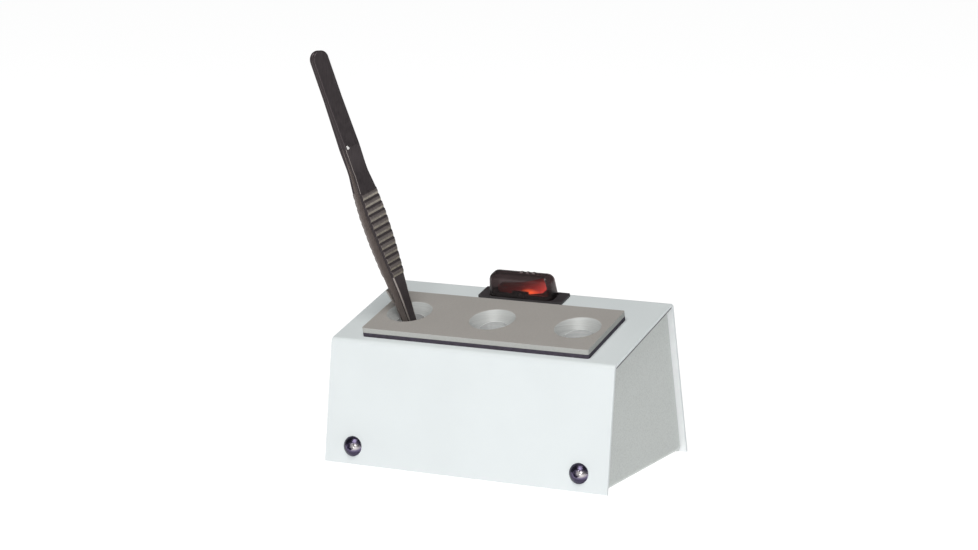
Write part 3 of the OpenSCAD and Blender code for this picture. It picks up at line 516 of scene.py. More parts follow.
def turned_metal(name, grey):
    """Turned aluminium with rings round the well."""
    made = Finish(name, grey, roughness=0.55, metallic=0.1)
    along_well = made.stretch((40.0, 40.0, 5200.0), turn=(-DECK_SLOPE, 0.0, 0.0))
    rings = made.noise(1.0, detail=2.0, vector=along_well)
    made.tint(rings, (0.3, shade(grey, 0.86)), (0.7, shade(grey, 1.12)))
    made.gloss(rings, low=0.45, high=0.6)
    made.bump(rings, strength=0.3, depth=0.03)
    return made.material


def bar_metal():
    """Sawn aluminium bar."""
    grey = (0.55, 0.55, 0.54)
    made = Finish("bar_metal", grey, roughness=0.45, metallic=0.9)
    saw_lines = made.noise(1.0, vector=made.stretch((60.0, 3000.0, 3000.0)))
    made.tint(saw_lines, (0.3, shade(grey, 0.85)), (0.7, shade(grey, 1.1)))
    made.bump(saw_lines, strength=0.3, depth=0.03)
    return made.material


def polished_steel():
    grey = (0.58, 0.57, 0.56)
    made = Finish("polished_steel", grey, roughness=0.16, metallic=1.0)
    smear = made.noise(420.0)
    made.tint(smear, (0.3, shade(grey, 0.9)), (0.7, shade(grey, 1.08)))
    made.gloss(smear, low=0.12, high=0.22)
    return made.material


def dark_screw():
    """Blackened steel of the cover screws, with a painted highlight on one side of the head's top and
    painted shade towards the rim.
    """
    violet = (0.06, 0.05, 0.085)
    made = Finish("dark_screw", violet, roughness=0.24, metallic=0.9)
    place = made.split(made.stretch((1.0, 1.0, HIGHLIGHT_SQUASH)))
    side = made.node("ShaderNodeMath", operation="SIGN")
    made.link(place["X"], side.inputs[0])
    across = made.node("ShaderNodeMath", operation="MULTIPLY_ADD")
    made.link(side.outputs["Value"], across.inputs[0])
    across.inputs[1].default_value = -MILLI * SCREW_X
    made.link(place["X"], across.inputs[2])
    spot = made.node("ShaderNodeCombineXYZ")
    made.link(across.outputs["Value"], spot.inputs["X"])
    made.link(place["Z"], spot.inputs["Z"])
    # Painted highlight: a bright spot off the middle of the head, fading to painted shade at the rim
    highlight_centre = Vector((HIGHLIGHT_SIDE, 0.0, HIGHLIGHT_SQUASH * (FOOT_H + SCREW_UP + HIGHLIGHT_UP)))
    away = made.measure("DISTANCE", spot.outputs["Vector"], MM @ highlight_centre)
    made.tint(
        made.span(away, 0.0, MILLI * SCREW_HEAD_D / 2),
        (0.0, (0.95, 0.93, 0.91)),
        (0.35, (0.6, 0.56, 0.57)),
        (0.7, shade(violet, 2.3)),
        (1.0, shade(violet, 0.9)),
    )
    made.gloss(made.noise(700.0, detail=4.0), low=0.18, high=0.34)
    return made.material


def zinc_steel():
    grey = (0.50, 0.50, 0.48)
    made = Finish("zinc_steel", grey, roughness=0.35, metallic=1.0)
    blotch = made.noise(300.0, detail=4.0)
    made.tint(blotch, (0.3, shade(grey, 0.86)), (0.7, shade(grey, 1.1)))
    made.gloss(blotch, low=0.28, high=0.44)
    return made.material


def brass():
    yellow = (0.62, 0.43, 0.17)
    made = Finish("brass", yellow, roughness=0.3, metallic=1.0)
    blotch = made.noise(260.0, detail=4.0)
    made.tint(blotch, (0.3, shade(yellow, 0.82)), (0.7, shade(yellow, 1.1)))
    made.gloss(blotch, low=0.22, high=0.4)
    return made.material


def dark_steel(name, grey, metallic, shine=0.5):
    """Satin steel, brushed along the forceps."""
    made = Finish(name, grey, roughness=0.34, metallic=metallic)
    made.set("Specular IOR Level", shine)
    along_arm = made.stretch((2400.0, 2400.0, 90.0), turn=(-DECK_SLOPE, FORCEPS_LEAN, 0.0))
    brushing = made.noise(1.0, vector=along_arm)
    made.tint(brushing, (0.3, shade(grey, 0.86)), (0.7, shade(grey, 1.16)))
    made.gloss(brushing, low=0.3, high=0.44)
    made.bump(brushing, strength=0.1, depth=0.02)
    return made.material


def ridge_highlight_steel():
    """Painted highlight on the ridges' lower flanks, in a light beige steel."""
    beige = (0.42, 0.385, 0.325)
    made = Finish("ridge_highlight_steel", beige, roughness=0.4, metallic=0.7)
    mottle = made.noise(900.0, detail=4.0)
    made.tint(mottle, (0.3, shade(beige, 0.7)), (0.7, shade(beige, 1.2)))
    made.gloss(mottle, low=0.3, high=0.5)
    return made.material


def soft_rubber(name, color):
    made = Finish(name, color, roughness=0.75)
    dust = made.noise(500.0, detail=4.0)
    made.tint(dust, (0.3, shade(color, 0.8)), (0.75, shade(color, 1.3)))
    made.bump(dust, strength=0.3, depth=0.05)
    return made.material


def moulded_black():
    """Satin moulded plastic with a fine grain."""
    black = (0.04, 0.034, 0.037)
    made = Finish("moulded_black", black, roughness=0.42)
    grain = made.noise(1400.0)
    made.tint(made.noise(120.0), (0.3, shade(black, 0.8)), (0.7, shade(black, 1.3)))
    made.gloss(grain, low=0.36, high=0.5)
    made.bump(grain, strength=0.2, depth=0.03)
    return made.material


def smoky_vinyl(name, smoke):
    """Glossy smoky clear vinyl of the boot."""
    made = Finish(name, smoke, roughness=0.1)
    made.set("Transmission Weight", 0.89)
    made.set("IOR", 1.2)
    made.bump(made.noise(160.0, detail=2.0), strength=0.12, depth=0.25)
    return made.material


def lit_red():
    """Red rocker, lit at its right end and by the lamp under it."""
    red = (0.55, 0.035, 0.02)
    made = Finish("lit_red", red, roughness=0.25)
    made.tint(made.noise(200.0), (0.3, shade(red, 0.85)), (0.7, shade(red, 1.15)))
    glow = made.ramp(
        made.span(made.split(made.coords)["X"], MILLI * GLOW_LEFT, MILLI * GLOW_RIGHT),
        (0.0, (0.03, 0.0, 0.0)),
        (0.45, (0.2, 0.012, 0.012)),
        (0.78, (0.75, 0.06, 0.05)),
        (1.0, (1.3, 0.13, 0.1)),
    )
    up = direction(ROCKER, (0.0, 0.0, 1.0))
    pivot_rise = MILLI * ROCKER.translation.dot(up)
    top_rise = pivot_rise + MILLI * ROCKER_END
    faded = made.node("ShaderNodeVectorMath", operation="SCALE")
    made.link(glow, faded.inputs[0])
    rise = made.measure("DOT_PRODUCT", made.coords, up)
    made.link(made.span(rise, pivot_rise, top_rise, to_low=1.35, to_high=0.3), faded.inputs["Scale"])
    squeezed_spot = Vector((LAMP_SQUEEZE * LAMP_SPOT[0], LAMP_SPOT[1], LAMP_SPOT[2]))
    away = made.measure("DISTANCE", made.stretch((LAMP_SQUEEZE, 1.0, 1.0)), MM @ squeezed_spot)
    warmth = made.span(away, MILLI * LAMP_REACH, 0.0)
    lamp = made.ramp(warmth, (0.0, (0.0, 0.0, 0.0)), (1.0, (2.6, 0.4, 0.08)))
    both = made.node("ShaderNodeVectorMath", operation="ADD")
    made.link(faded.outputs["Vector"], both.inputs[0])
    made.link(lamp, both.inputs[1])
    made.link(both.outputs["Vector"], made.shader.inputs["Emission Color"])
    made.set("Emission Strength", 1.6)
    return made.material


def glowing_glass():
    made = Finish("glowing_glass", (0.9, 0.4, 0.25), roughness=0.1)
    made.tint(made.noise(300.0), (0.3, (0.8, 0.3, 0.18)), (0.7, (0.95, 0.45, 0.3)))
    made.set("Emission Color", (1.0, 0.25, 0.08, 1.0))
    made.set("Emission Strength", 3.0)
    return made.material


def clear_glass():
    made = Finish("clear_glass", (0.92, 0.95, 0.93), roughness=0.04)
    made.set("Transmission Weight", 1.0)
    made.set("IOR", 1.5)
    made.bump(made.noise(250.0, detail=2.0), strength=0.05, depth=0.05)
    return made.material


def moulded(name, color, roughness=0.5):
    made = Finish(name, color, roughness)
    grain = made.noise(700.0)
    made.tint(grain, (0.3, shade(color, 0.85)), (0.7, shade(color, 1.12)))
    made.bump(grain, strength=0.2, depth=0.03)
    return made.material


FINISHES = {
    "cover_paint": cover_paint("cover_paint", (0.80, 0.845, 0.86)),
    # A lighter copy of the cover paint: painted light on the rear flange's inner face
    "lit_inside_paint": cover_paint("lit_inside_paint", (0.95, 0.97, 0.98)),
    "chassis_paint": chassis_paint(),
    "plate_metal": plate_metal("plate_metal", (0.45, 0.424, 0.402)),
    "plate_edge": plate_metal("plate_edge", (0.48, 0.485, 0.465)),
    "cup_metal": turned_metal("turned_metal", (0.56, 0.57, 0.565)),
    # A near-white copy of the turned metal: painted light on the bore walls, in place of their shade
    "lit_bore_metal": turned_metal("lit_bore_metal", (0.93, 0.95, 0.95)),
    "bar_metal": bar_metal(),
    "stainless": polished_steel(),
    # Cover screws: a painted highlight and painted shade in the colour
    "dark_screw": dark_screw(),
    "zinc_steel": zinc_steel(),
    "brass": brass(),
    "gasket_rubber": soft_rubber("gasket_rubber", (0.052, 0.042, 0.062)),
    "foot_rubber": soft_rubber("foot_rubber", (0.03, 0.03, 0.03)),
    "insulator": moulded("insulator", (0.6, 0.55, 0.42), roughness=0.7),
    "black_plastic": moulded_black(),
    "clear_boot": smoky_vinyl("smoky_vinyl", (0.25, 0.205, 0.207)),
    # A darker copy of the smoky vinyl: painted shade on the boot's ends, top and rounded edges
    "boot_rim_shade": smoky_vinyl("shaded_rim_vinyl", (0.16, 0.128, 0.131)),
    "red_rocker": lit_red(),
    "lamp_glass": glowing_glass(),
    "fuse_glass": clear_glass(),
    "phenolic": moulded("phenolic", (0.13, 0.07, 0.045), roughness=0.5),
    "brown_wire": moulded("brown_wire", (0.2, 0.09, 0.04), roughness=0.45),
    "red_wire": moulded("red_wire", (0.42, 0.04, 0.035), roughness=0.45),
    "blue_wire": moulded("blue_wire", (0.04, 0.12, 0.42), roughness=0.45),
    "green_wire": moulded("green_wire", (0.12, 0.36, 0.07), roughness=0.45),
    "forceps_steel": dark_steel("dark_steel", (0.088, 0.074, 0.078), metallic=0.75),
    # A lighter copy: painted highlight on the outer bevels off the grip and on the lug
    "bevel_highlight_steel": dark_steel("bevel_highlight_steel", (0.33, 0.295, 0.275), metallic=0.7),
    # A lighter copy of the forceps steel: painted light on the arms' inner faces
    "lit_inner_steel": dark_steel("lit_inner_steel", (0.255, 0.215, 0.2), metallic=0.2),
    # A darker copy of the forceps steel: painted shade on the narrow sides of the heel and arms
    "shaded_edge_steel": dark_steel("shaded_edge_steel", (0.046, 0.037, 0.039), metallic=0.0, shine=0.05),
    # A lighter copy: painted light on the far arm's narrow sides below the grip's top
    "lit_rim_steel": dark_steel("lit_rim_steel", (0.17, 0.143, 0.132), metallic=0.1, shine=0.2),
    "ridge_steel": dark_steel("ridge_steel", (0.18, 0.155, 0.148), metallic=0.6),
    # Painted highlight on the ridges' lower flanks
    "ridge_highlight_steel": ridge_highlight_steel(),
}

# Modelling steps


def deselect():
    bpy.ops.object.select_all(action="DESELECT")


def make_active(piece):
    deselect()
    piece.select_set(True)
    bpy.context.view_layer.objects.active = piece


def settle():
    bpy.ops.object.transform_apply(location=True, rotation=True, scale=True)
    return bpy.context.object


def add_block(size, at=(0.0, 0.0, 0.0)):
    deselect()
    bpy.ops.mesh.primitive_cube_add(size=1.0, location=at, scale=size)
    return settle()


def add_slab(width, depth, low, high, at=(0.0, 0.0)):
    """A block between two heights."""
    return add_block((width, depth, high - low), (at[0], at[1], (low + high) / 2))


def add_round(radius, low, high, sides=64, at=(0.0, 0.0), top_radius=None):
    deselect()
    bpy.ops.mesh.primitive_cone_add(
        vertices=sides,
        radius1=radius,
        radius2=radius if top_radius is None else top_radius,
        depth=high - low,
        location=(at[0], at[1], (low + high) / 2),
    )
    return settle()


def edit(piece, kind):
    make_active(piece)
    bpy.ops.object.mode_set(mode="EDIT")
    bpy.ops.mesh.select_mode(type=kind)


def done():
    bpy.ops.object.mode_set(mode="OBJECT")


def middle_of(element):
    if isinstance(element, bmesh.types.BMVert):
        return element.co
    if isinstance(element, bmesh.types.BMFace):
        return element.calc_center_median()
    return (element.verts[0].co + element.verts[1].co) / 2


def pick(piece, kind, test):
    """Goes to edit mode and selects the elements that pass the test."""
    edit(piece, kind)
    bpy.ops.mesh.select_all(action="DESELECT")
    mesh = bmesh.from_edit_mesh(piece.data)
    elements = {"VERT": mesh.verts, "EDGE": mesh.edges, "FACE": mesh.faces}[kind]
    for element in elements:
        if test(element):
            element.select_set(True)
    mesh.select_flush_mode()
    bmesh.update_edit_mesh(piece.data)


def pick_all(piece):
    edit(piece, "FACE")
    bpy.ops.mesh.select_all(action="SELECT")


def near(value, target, slack=0.01):
    return abs(value - target) < slack


def along(edge, axis):
    run = (edge.verts[1].co - edge.verts[0].co).normalized()
    return abs(run[axis]) > 0.99


def is_corner(edge):
    return along(edge, 2)


def at_level(edge, z):
    return all(near(v.co.z, z) for v in edge.verts)


def faces_up(face):
    return face.normal.z > 0.99


def faces_down(face):
    return face.normal.z < -0.99


def is_sharp(edge):
    """An edge where two faces meet at a right angle or nearly so."""
    if len(edge.link_faces) != 2:
        return False
    first, second = (f.normal for f in edge.link_faces)
    return first.dot(second) < 0.3


def round_edges(piece, test, radius, steps):
    pick(piece, "EDGE", test)
    bpy.ops.mesh.bevel(offset=radius, segments=steps, profile=0.5, affect="EDGES")
    done()


def extrude(piece, kind, test, step):
    pick(piece, kind, test)
    bpy.ops.mesh.extrude_region_move(TRANSFORM_OT_translate={"value": step})
    done()


def push(step):
    """Extrudes the selected faces up or down."""
    bpy.ops.mesh.extrude_region_move(TRANSFORM_OT_translate={"value": (0.0, 0.0, step)})


def open_ends(piece, test):
    pick(piece, "FACE", test)
    bpy.ops.mesh.delete(type="FACE")
    done()


def apply_modifier(piece, kind, **values):
    make_active(piece)
    modifier = piece.modifiers.new(kind.lower(), kind)
    for key, value in values.items():
        setattr(modifier, key, value)
    bpy.ops.object.modifier_apply(modifier=modifier.name)


def thicken(piece, thickness):
    """Gives a sheet its thickness, inwards from its face."""
    apply_modifier(piece, "SOLIDIFY", thickness=thickness, offset=-1.0)


def join(pieces):
    make_active(pieces[0])
    for piece in pieces[1:]:
        piece.select_set(True)
    bpy.ops.object.join()
    return bpy.context.object


def cut(piece, *cutters):
    for cutter in cutters:
        apply_modifier(piece, "BOOLEAN", operation="DIFFERENCE", solver="EXACT", object=cutter)
        bpy.data.objects.remove(cutter)


def unite(piece, *others):
    for other in others:
        apply_modifier(piece, "BOOLEAN", operation="UNION", solver="EXACT", object=other)
        bpy.data.objects.remove(other)


def soften(piece, width, steps=2, angle=40.0):
    apply_modifier(
        piece, "BEVEL", width=width, segments=steps, limit_method="ANGLE",
        angle_limit=math.radians(angle), harden_normals=False,
    )


def smooth(piece, angle=35.0):
    make_active(piece)
    bpy.ops.object.shade_smooth_by_angle(angle=math.radians(angle))
    apply_modifier(piece, "WEIGHTED_NORMAL", keep_sharp=True)


def copy_of(piece):
    made = piece.copy()
    made.data = piece.data.copy()
    bpy.context.scene.collection.objects.link(made)
    return made


def hand_over(piece, name, place, body, slot, *nodes):
    """Sets a finished piece in its place, dresses it and joins it to its body."""
    piece.name = name
    piece.data.name = name
    make_active(piece)
    piece.matrix_world = MM @ place
    settle()
    piece.data.materials.clear()
    piece.data.materials.append(FINISHES[slot])
    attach(piece, body)
    if nodes:
        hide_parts(*nodes)
    return piece


def dress_faces(piece, finish, test):
    """Gives the faces that pass the test another finish."""
    piece.data.materials.append(FINISHES[finish])
    for face in piece.data.polygons:
        if test(face):
            face.material_index = len(piece.data.materials) - 1


# Case


def make_cover():
    deselect()
    bpy.ops.mesh.primitive_plane_add(
        size=1.0,
        location=(0.0, FRONT_Y + FRONT_RUN / 2, FOOT_H + FRONT_H / 2),
        rotation=(math.radians(90.0 - FRONT_LEAN), 0.0, 0.0),
    )
    bpy.context.object.scale = (CASE_W, FRONT_H / cos(FRONT_LEAN), 1.0)
    cover = settle()
    rear_fold_y = FOLD_Y + DECK_RUN
    extrude(cover, "EDGE", lambda e: near(middle_of(e).z, FOLD_Z), (0.0, DECK_RUN, DECK_RISE))
    extrude(cover, "EDGE", lambda e: near(middle_of(e).y, rear_fold_y), (0.0, REAR_RUN, -REAR_H))
    pick_all(cover)
    bpy.ops.mesh.normals_make_consistent(inside=False)
    done()
    for fold_y, setback in ((FOLD_Y, FRONT_BEND), (rear_fold_y, BEND_R)):
        round_edges(
            cover, lambda e: near(middle_of(e).y, fold_y) and along(e, 0), setback, steps=BEND_STEPS
        )
    front_face = min(cover.data.polygons, key=lambda f: f.center.y)
    if front_face.normal.y > 0:
        pick_all(cover)
        bpy.ops.mesh.flip_normals()
        done()
    thicken(cover, SHEET_T)
    soften(cover, SHEET_SOFT, angle=50.0)
    through = 4 * SHEET_T
    for place in cover_screw_places():
        hole = add_round(SCREW_D / 2 + SLIDE_GAP, -through, through, sides=32)
        hole.matrix_world = place
        cut(cover, hole)
    for x in WELLS.values():
        hole = add_round(CUP_R + CUP_GAP, -through, through)
        hole.matrix_world = DECK @ moved(x, WELL_S, 0)
        cut(cover, hole)
    switch_hole = add_block((BODY_L + 2 * SLIDE_GAP, BODY_D + 2 * SLIDE_GAP, through))
    switch_hole.matrix_world = SWITCH
    inlet_hole = add_block((INLET_BODY_W + 2 * SLIDE_GAP, INLET_BODY_H + 2 * SLIDE_GAP, through))
    inlet_hole.matrix_world = INLET
    cut(cover, switch_hole, inlet_hole)
    smooth(cover)
    piece = hand_over(cover, "folded_cover", GROUND, "case", "cover_paint", "wrap_cover")
    # Painted light: the rear flange's inner face gets the lighter copy of the paint
    rear_inside = direction(REAR, (0.0, -1.0, 0.0))
    dress_faces(piece, "lit_inside_paint", lambda f: f.normal.dot(rear_inside) > 0.98)


def make_shadow_strips():
    """Thin dark strips between the deck's side edges and the chassis, a painted shadow under the deck's
    edge.
    """
    run = DECK_LEN - FRONT_BEND - BEND_R
    width = SIDE_INSET - 2 * SHADOW_STRIP_GAP
    first = add_block((width, run, SHADOW_STRIP_T))
    soften(first, SHADOW_STRIP_SOFT)
    smooth(first)
    x = CASE_W / 2 - SHADOW_STRIP_GAP - width / 2
    # Each strip is a dark sheet put where there is only shadow
    for strip, name, at in ((first, "left", -x), (copy_of(first), "right", x)):
        place = DECK @ moved(at, FRONT_BEND + run / 2, -SHEET_T - SHADOW_STRIP_T / 2)
        hand_over(strip, "deck_edge_shadow_strip_" + name, place, "case", "gasket_rubber")


def cover_screw_places():
    places = []
    for x in (-SCREW_X, SCREW_X):
        places.append(FRONT @ moved(x, 0, SCREW_UP) @ turned(90, "X"))
        places.append(REAR @ moved(x, 0, SCREW_UP) @ turned(-90, "X"))
    return places


def make_button_screw(shank_d, shank_l, head_d, head_h, socket):
    """A domed screw with a hexagon socket, head above zero."""
    dome_r = (head_d ** 2 / 4 + head_h ** 2) / (2 * head_h)
    deselect()
    bpy.ops.mesh.primitive_uv_sphere_add(
        segments=48, ring_count=32, radius=dome_r, location=(0.0, 0.0, head_h - dome_r)
    )
    screw = settle()
    pick_all(screw)
    bpy.ops.mesh.bisect(
        plane_co=(0.0, 0.0, 0.0), plane_no=(0.0, 0.0, 1.0), use_fill=True, clear_inner=True
    )
    done()
    pick(screw, "FACE", faces_down)
    bpy.ops.mesh.inset(thickness=(head_d - shank_d) / 2)
    push(-shank_l)
    done()
    socket_r = socket / 2 / cos(30)
    cut(screw, add_round(socket_r, head_h * SOCKET_FLOOR_SHARE, head_h + OVER, sides=6))
    soften(screw, SCREW_SOFT, angle=50.0)
    smooth(screw, angle=40.0)
    return screw


def make_cover_screws():
    names = ("front_left", "rear_left", "front_right", "rear_right")
    first = make_button_screw(SCREW_D, SCREW_LEN, SCREW_HEAD_D, SCREW_HEAD_H, SCREW_SOCKET)
    screws = [first] + [copy_of(first) for _ in names[1:]]
    for screw, name, place in zip(screws, names, cover_screw_places()):
        hand_over(screw, "cover_screw_" + name, place, "case", "dark_screw", "cover_screws")


def make_feet():
    first = add_round(FOOT_D / 2 - FOOT_H / 4, 0.0, FOOT_H, sides=48, top_radius=FOOT_D / 2)
    round_edges(first, lambda e: at_level(e, 0.0), FOOT_SOFT, steps=3)
    pick(first, "FACE", faces_down)
    bpy.ops.mesh.inset(thickness=TREAD_INSET)
    push(TREAD_DEPTH)
    done()
    smooth(first)
    x = CASE_W / 2 - FOOT_SETBACK
    y = BASE_D / 2 - FOOT_SETBACK
    spots = {"front_left": (-x, -y), "front_right": (x, -y), "rear_left": (-x, y), "rear_right": (x, y)}
    feet = [first] + [copy_of(first) for _ in range(3)]
    for foot, (name, spot) in zip(feet, spots.items()):
        hand_over(foot, "rubber_foot_" + name, moved(*spot, 0), "case", "foot_rubber", "rubber_feet")


# Wells


def make_plate():
    plate = add_block((PLATE_W, PLATE_D, PLATE_T), (0.0, WELL_S, GASKET_T + PLATE_T / 2))
    round_edges(plate, is_corner, PLATE_CORNER, steps=5)
    low = GASKET_T - OVER
    high = PLATE_TOP + OVER
    low_r = MOUTH_R - (PLATE_TOP - low)
    high_r = MOUTH_R + (high - PLATE_TOP)
    for x in WELLS.values():
        cut(plate, add_round(low_r, low, high, sides=96, at=(x, WELL_S), top_radius=high_r))
    round_edges(plate, is_mouth_rim, MOUTH_SOFT, steps=4)
    soften(plate, PLATE_SOFT, angle=50.0)
    smooth(plate)
    piece = hand_over(plate, "well_plate_blasted", DECK, "case", "plate_metal", "well_plate")
    up = direction(DECK, (0.0, 0.0, 1.0))
    dress_faces(piece, "plate_edge", lambda f: f.normal.dot(up) < 0.6 and not is_in_well(f))
    dress_faces(piece, "cup_metal", lambda f: 0.4 < f.normal.dot(up) < 0.9 and is_in_well(f))


def well_distances(spot):
    """Distances of a spot on the deck from the axes of the wells."""
    return [math.hypot(spot.x - x, spot.y - WELL_S) for x in WELLS.values()]


def deck_spot(face):
    return DECK.inverted() @ in_mm(face.center)


def is_mouth_rim(edge):
    """An edge round a well's mouth, on the plate's top."""
    if not at_level(edge, PLATE_TOP):
        return False
    return any(near(away, MOUTH_R, 0.05) for away in well_distances(middle_of(edge)))


def is_in_well(face):
    """A face of the plate within a square round a well's mouth."""
    spot = deck_spot(face)
    side_step = min(abs(spot.x - x) for x in WELLS.values())
    return side_step < MOUTH_R and abs(spot.y - WELL_S) < MOUTH_R


def is_in_bore(face):
    spot = deck_spot(face)
    return near(min(well_distances(spot)), BORE_R, 0.2) and spot.z > WELL_FLOOR + 0.5


def make_gasket():
    gasket = add_block((PLATE_W, PLATE_D, GASKET_T), (0.0, WELL_S, GASKET_T / 2))
    round_edges(gasket, is_corner, PLATE_CORNER, steps=5)
    for x in WELLS.values():
        cut(gasket, add_round(CUP_R + CUP_GAP, -OVER, GASKET_T + OVER, at=(x, WELL_S)))
    soften(gasket, GASKET_SOFT)
    smooth(gasket)
    hand_over(gasket, "plate_gasket_sheet", DECK, "case", "gasket_rubber", "plate_gasket")


def make_cups():
    narrowing = BORE_R / CONE_TOP_R
    for name, x in WELLS.items():
        cup = add_round(CUP_R, CUP_FOOT, GASKET_T, sides=96)
        pick(cup, "FACE", faces_up)
        bpy.ops.mesh.inset(thickness=CUP_R - CONE_TOP_R)
        push(CONE_FOOT - GASKET_T)
        bpy.ops.transform.resize(
            value=(narrowing, narrowing, 1.0), center_override=(0.0, 0.0, CONE_FOOT)
        )
        push(WELL_FLOOR - CONE_FOOT)
        done()
        soften(cup, CUP_SOFT, angle=30.0)
        smooth(cup)
        node = "well_cup_" + name
        place = DECK @ moved(x, WELL_S, 0)
        piece = hand_over(cup, node + "_turned", place, "case", "cup_metal", node)
        # Painted light on the bore walls, in place of the shade inside the well
        dress_faces(piece, "lit_bore_metal", is_in_bore)


# Switch


def make_bezel():
    bezel = add_block((BEZEL_L, BEZEL_D, BEZEL_T), (0.0, 0.0, BEZEL_T / 2))
    round_edges(bezel, is_corner, BEZEL_CORNER, steps=6)
    window = add_block((BOOT_L + SLIDE_GAP, BOOT_D + SLIDE_GAP, 4 * BEZEL_T))
    round_edges(window, is_corner, BOOT_CORNER, steps=6)
    cut(bezel, window)
    soften(bezel, BEZEL_SOFT, steps=3)
    smooth(bezel)
    hand_over(bezel, "switch_bezel_frame", SWITCH, "case", "black_plastic", "switch_bezel")


def make_boot():
    boot = add_block((BOOT_L, BOOT_D, BOOT_FOOT_H), (0.0, 0.0, BOOT_FOOT_H / 2))
    extrude(boot, "FACE", faces_up, (0.0, 0.0, BOOT_H - BOOT_FOOT_H))
    lean = (BOOT_H - BOOT_FOOT_H) * tan(BOOT_DRAFT)
    pick(boot, "FACE", faces_up)
    bpy.ops.transform.resize(
        value=(1 - 2 * lean / BOOT_L, 1 - 2 * lean / BOOT_D, 1.0), center_override=(0.0, 0.0, BOOT_H)
    )
    done()
    round_edges(boot, lambda e: near(middle_of(e).z, BOOT_H) and along(e, 1), BOOT_ROUND_L, steps=8)
    round_edges(boot, lambda e: is_front_outline(e) and middle_of(e).z > 0.01, BOOT_ROUND_D, steps=7)
    open_ends(boot, faces_down)
    thicken(boot, BOOT_WALL)
    bump_top = BOOT_H + BUMP_H
    bumps = []
    for x in BUMPS_X:
        bump = add_round(
            BUMP_R, BOOT_H - BUMP_SINK, bump_top, sides=24, at=(x, BUMP_Y), top_radius=BUMP_TOP_R
        )
        round_edges(bump, lambda e: at_level(e, bump_top), BUMP_SOFT, steps=4)
        bumps.append(bump)
    unite(boot, *bumps)
    smooth(boot, angle=50.0)
    piece = hand_over(boot, "switch_boot_clear", SWITCH, "case", "clear_boot", "switch_boot")
    # Painted shade: the darker vinyl on all faces but the broad front and rear
    broad_side = direction(SWITCH, (0.0, 1.0, 0.0))
    dress_faces(piece, "boot_rim_shade", lambda f: abs(f.normal.dot(broad_side)) < 0.9)


def is_front_outline(edge):
    """An edge where the boot's front or rear meets its ends or its top."""
    steep = [abs(f.normal.y) > 0.9 for f in edge.link_faces]
    return any(steep) and not all(steep)


def make_rocker():
    rocker = add_slab(ROCKER_L, ROCKER_D, -ROCKER_UNDER, ROCKER_END)
    pick_all(rocker)
    bpy.ops.mesh.bisect(plane_co=(0.0, 0.0, 0.0), plane_no=(1.0, 0.0, 0.0))
    done()
    pick(rocker, "EDGE", lambda e: near(middle_of(e).x, 0) and near(middle_of(e).z, ROCKER_END))
    bpy.ops.transform.translate(value=(0.0, 0.0, ROCKER_DIP - ROCKER_END))
    done()
    round_edges(
        rocker,
        lambda e: near(middle_of(e).x, 0) and near(middle_of(e).z, ROCKER_DIP),
        ROCKER_BEND,
        steps=6,
    )
    soften(rocker, ROCKER_SOFT, steps=3)
    stem = add_slab(STEM_W, ROCKER_D, -STEM_L, 0.0)
    soften(stem, STEM_SOFT)
    rocker = join([rocker, stem])
    smooth(rocker)
    hand_over(rocker, "rocker_lit", ROCKER, "rocker", "red_rocker", "rocker")


# Inlet


def make_inlet():
    inlet = add_slab(INLET_FLANGE_W, INLET_FLANGE_H, 0.0, INLET_FLANGE_T)
    round_edges(inlet, is_corner, INLET_FLANGE_CORNER, steps=6)
    soften(inlet, INLET_FLANGE_SOFT, steps=3)
    body = add_slab(INLET_BODY_W, INLET_BODY_H, -INLET_DEPTH, OVER)
    round_edges(body, is_corner, INLET_BODY_CORNER, steps=4)
    unite(inlet, body)
    mouth = INLET_FLANGE_T + OVER
    recess = add_slab(SOCKET_W, SOCKET_H, -SOCKET_DEPTH, mouth, (0.0, -SOCKET_UP))
    round_edges(recess, lambda e: is_corner(e) and middle_of(e).y < -SOCKET_UP, SOCKET_CUT, steps=1)
    round_edges(recess, is_corner, SOCKET_CORNER, steps=3)
    slot_foot = INLET_FLANGE_T - DRAWER_L - SLIDE_GAP
    slot_w = DRAWER_W + 2 * SLIDE_GAP
    slot_h = DRAWER_H + 2 * SLIDE_GAP
    slot = add_slab(slot_w, slot_h, slot_foot, mouth, (0.0, DRAWER_DOWN))
    cut(inlet, recess, slot)
    for x in (-INLET_PITCH / 2, INLET_PITCH / 2):
        cut(inlet, add_round(INLET_SCREW_D / 2 + SLIDE_GAP, -OVER, mouth, sides=32, at=(x, 0.0)))
    soften(inlet, INLET_SOFT, angle=50.0)
    smooth(inlet)
    hand_over(inlet, "mains_inlet_moulding", INLET, "case", "black_plastic", "inlet")


def make_inlet_prongs():
    blades = []
    for spot in PRONGS:
        blade = add_slab(PRONG_W, PRONG_H, PRONG_LOW, PRONG_TOP, spot)
        round_edges(blade, lambda e: near(middle_of(e).z, PRONG_TOP), PRONG_TIP, steps=3)
        blades.append(blade)
    prongs = join(blades)
    soften(prongs, PRONG_SOFT, angle=50.0)
    smooth(prongs)
    hand_over(prongs, "inlet_prong_set", INLET, "case", "brass", "inlet_pins")


def make_inlet_screws():
    first = make_button_screw(
        INLET_SCREW_D, INLET_SCREW_LEN, INLET_SCREW_HEAD_D, INLET_SCREW_HEAD_H, INLET_SCREW_SOCKET
    )
    half = INLET_PITCH / 2
    for screw, name, x in ((first, "left", -half), (copy_of(first), "right", half)):
        place = INLET @ moved(x, 0, INLET_FLANGE_T)
        hand_over(screw, "inlet_screw_" + name, place, "case", "zinc_steel", "inlet_screws")


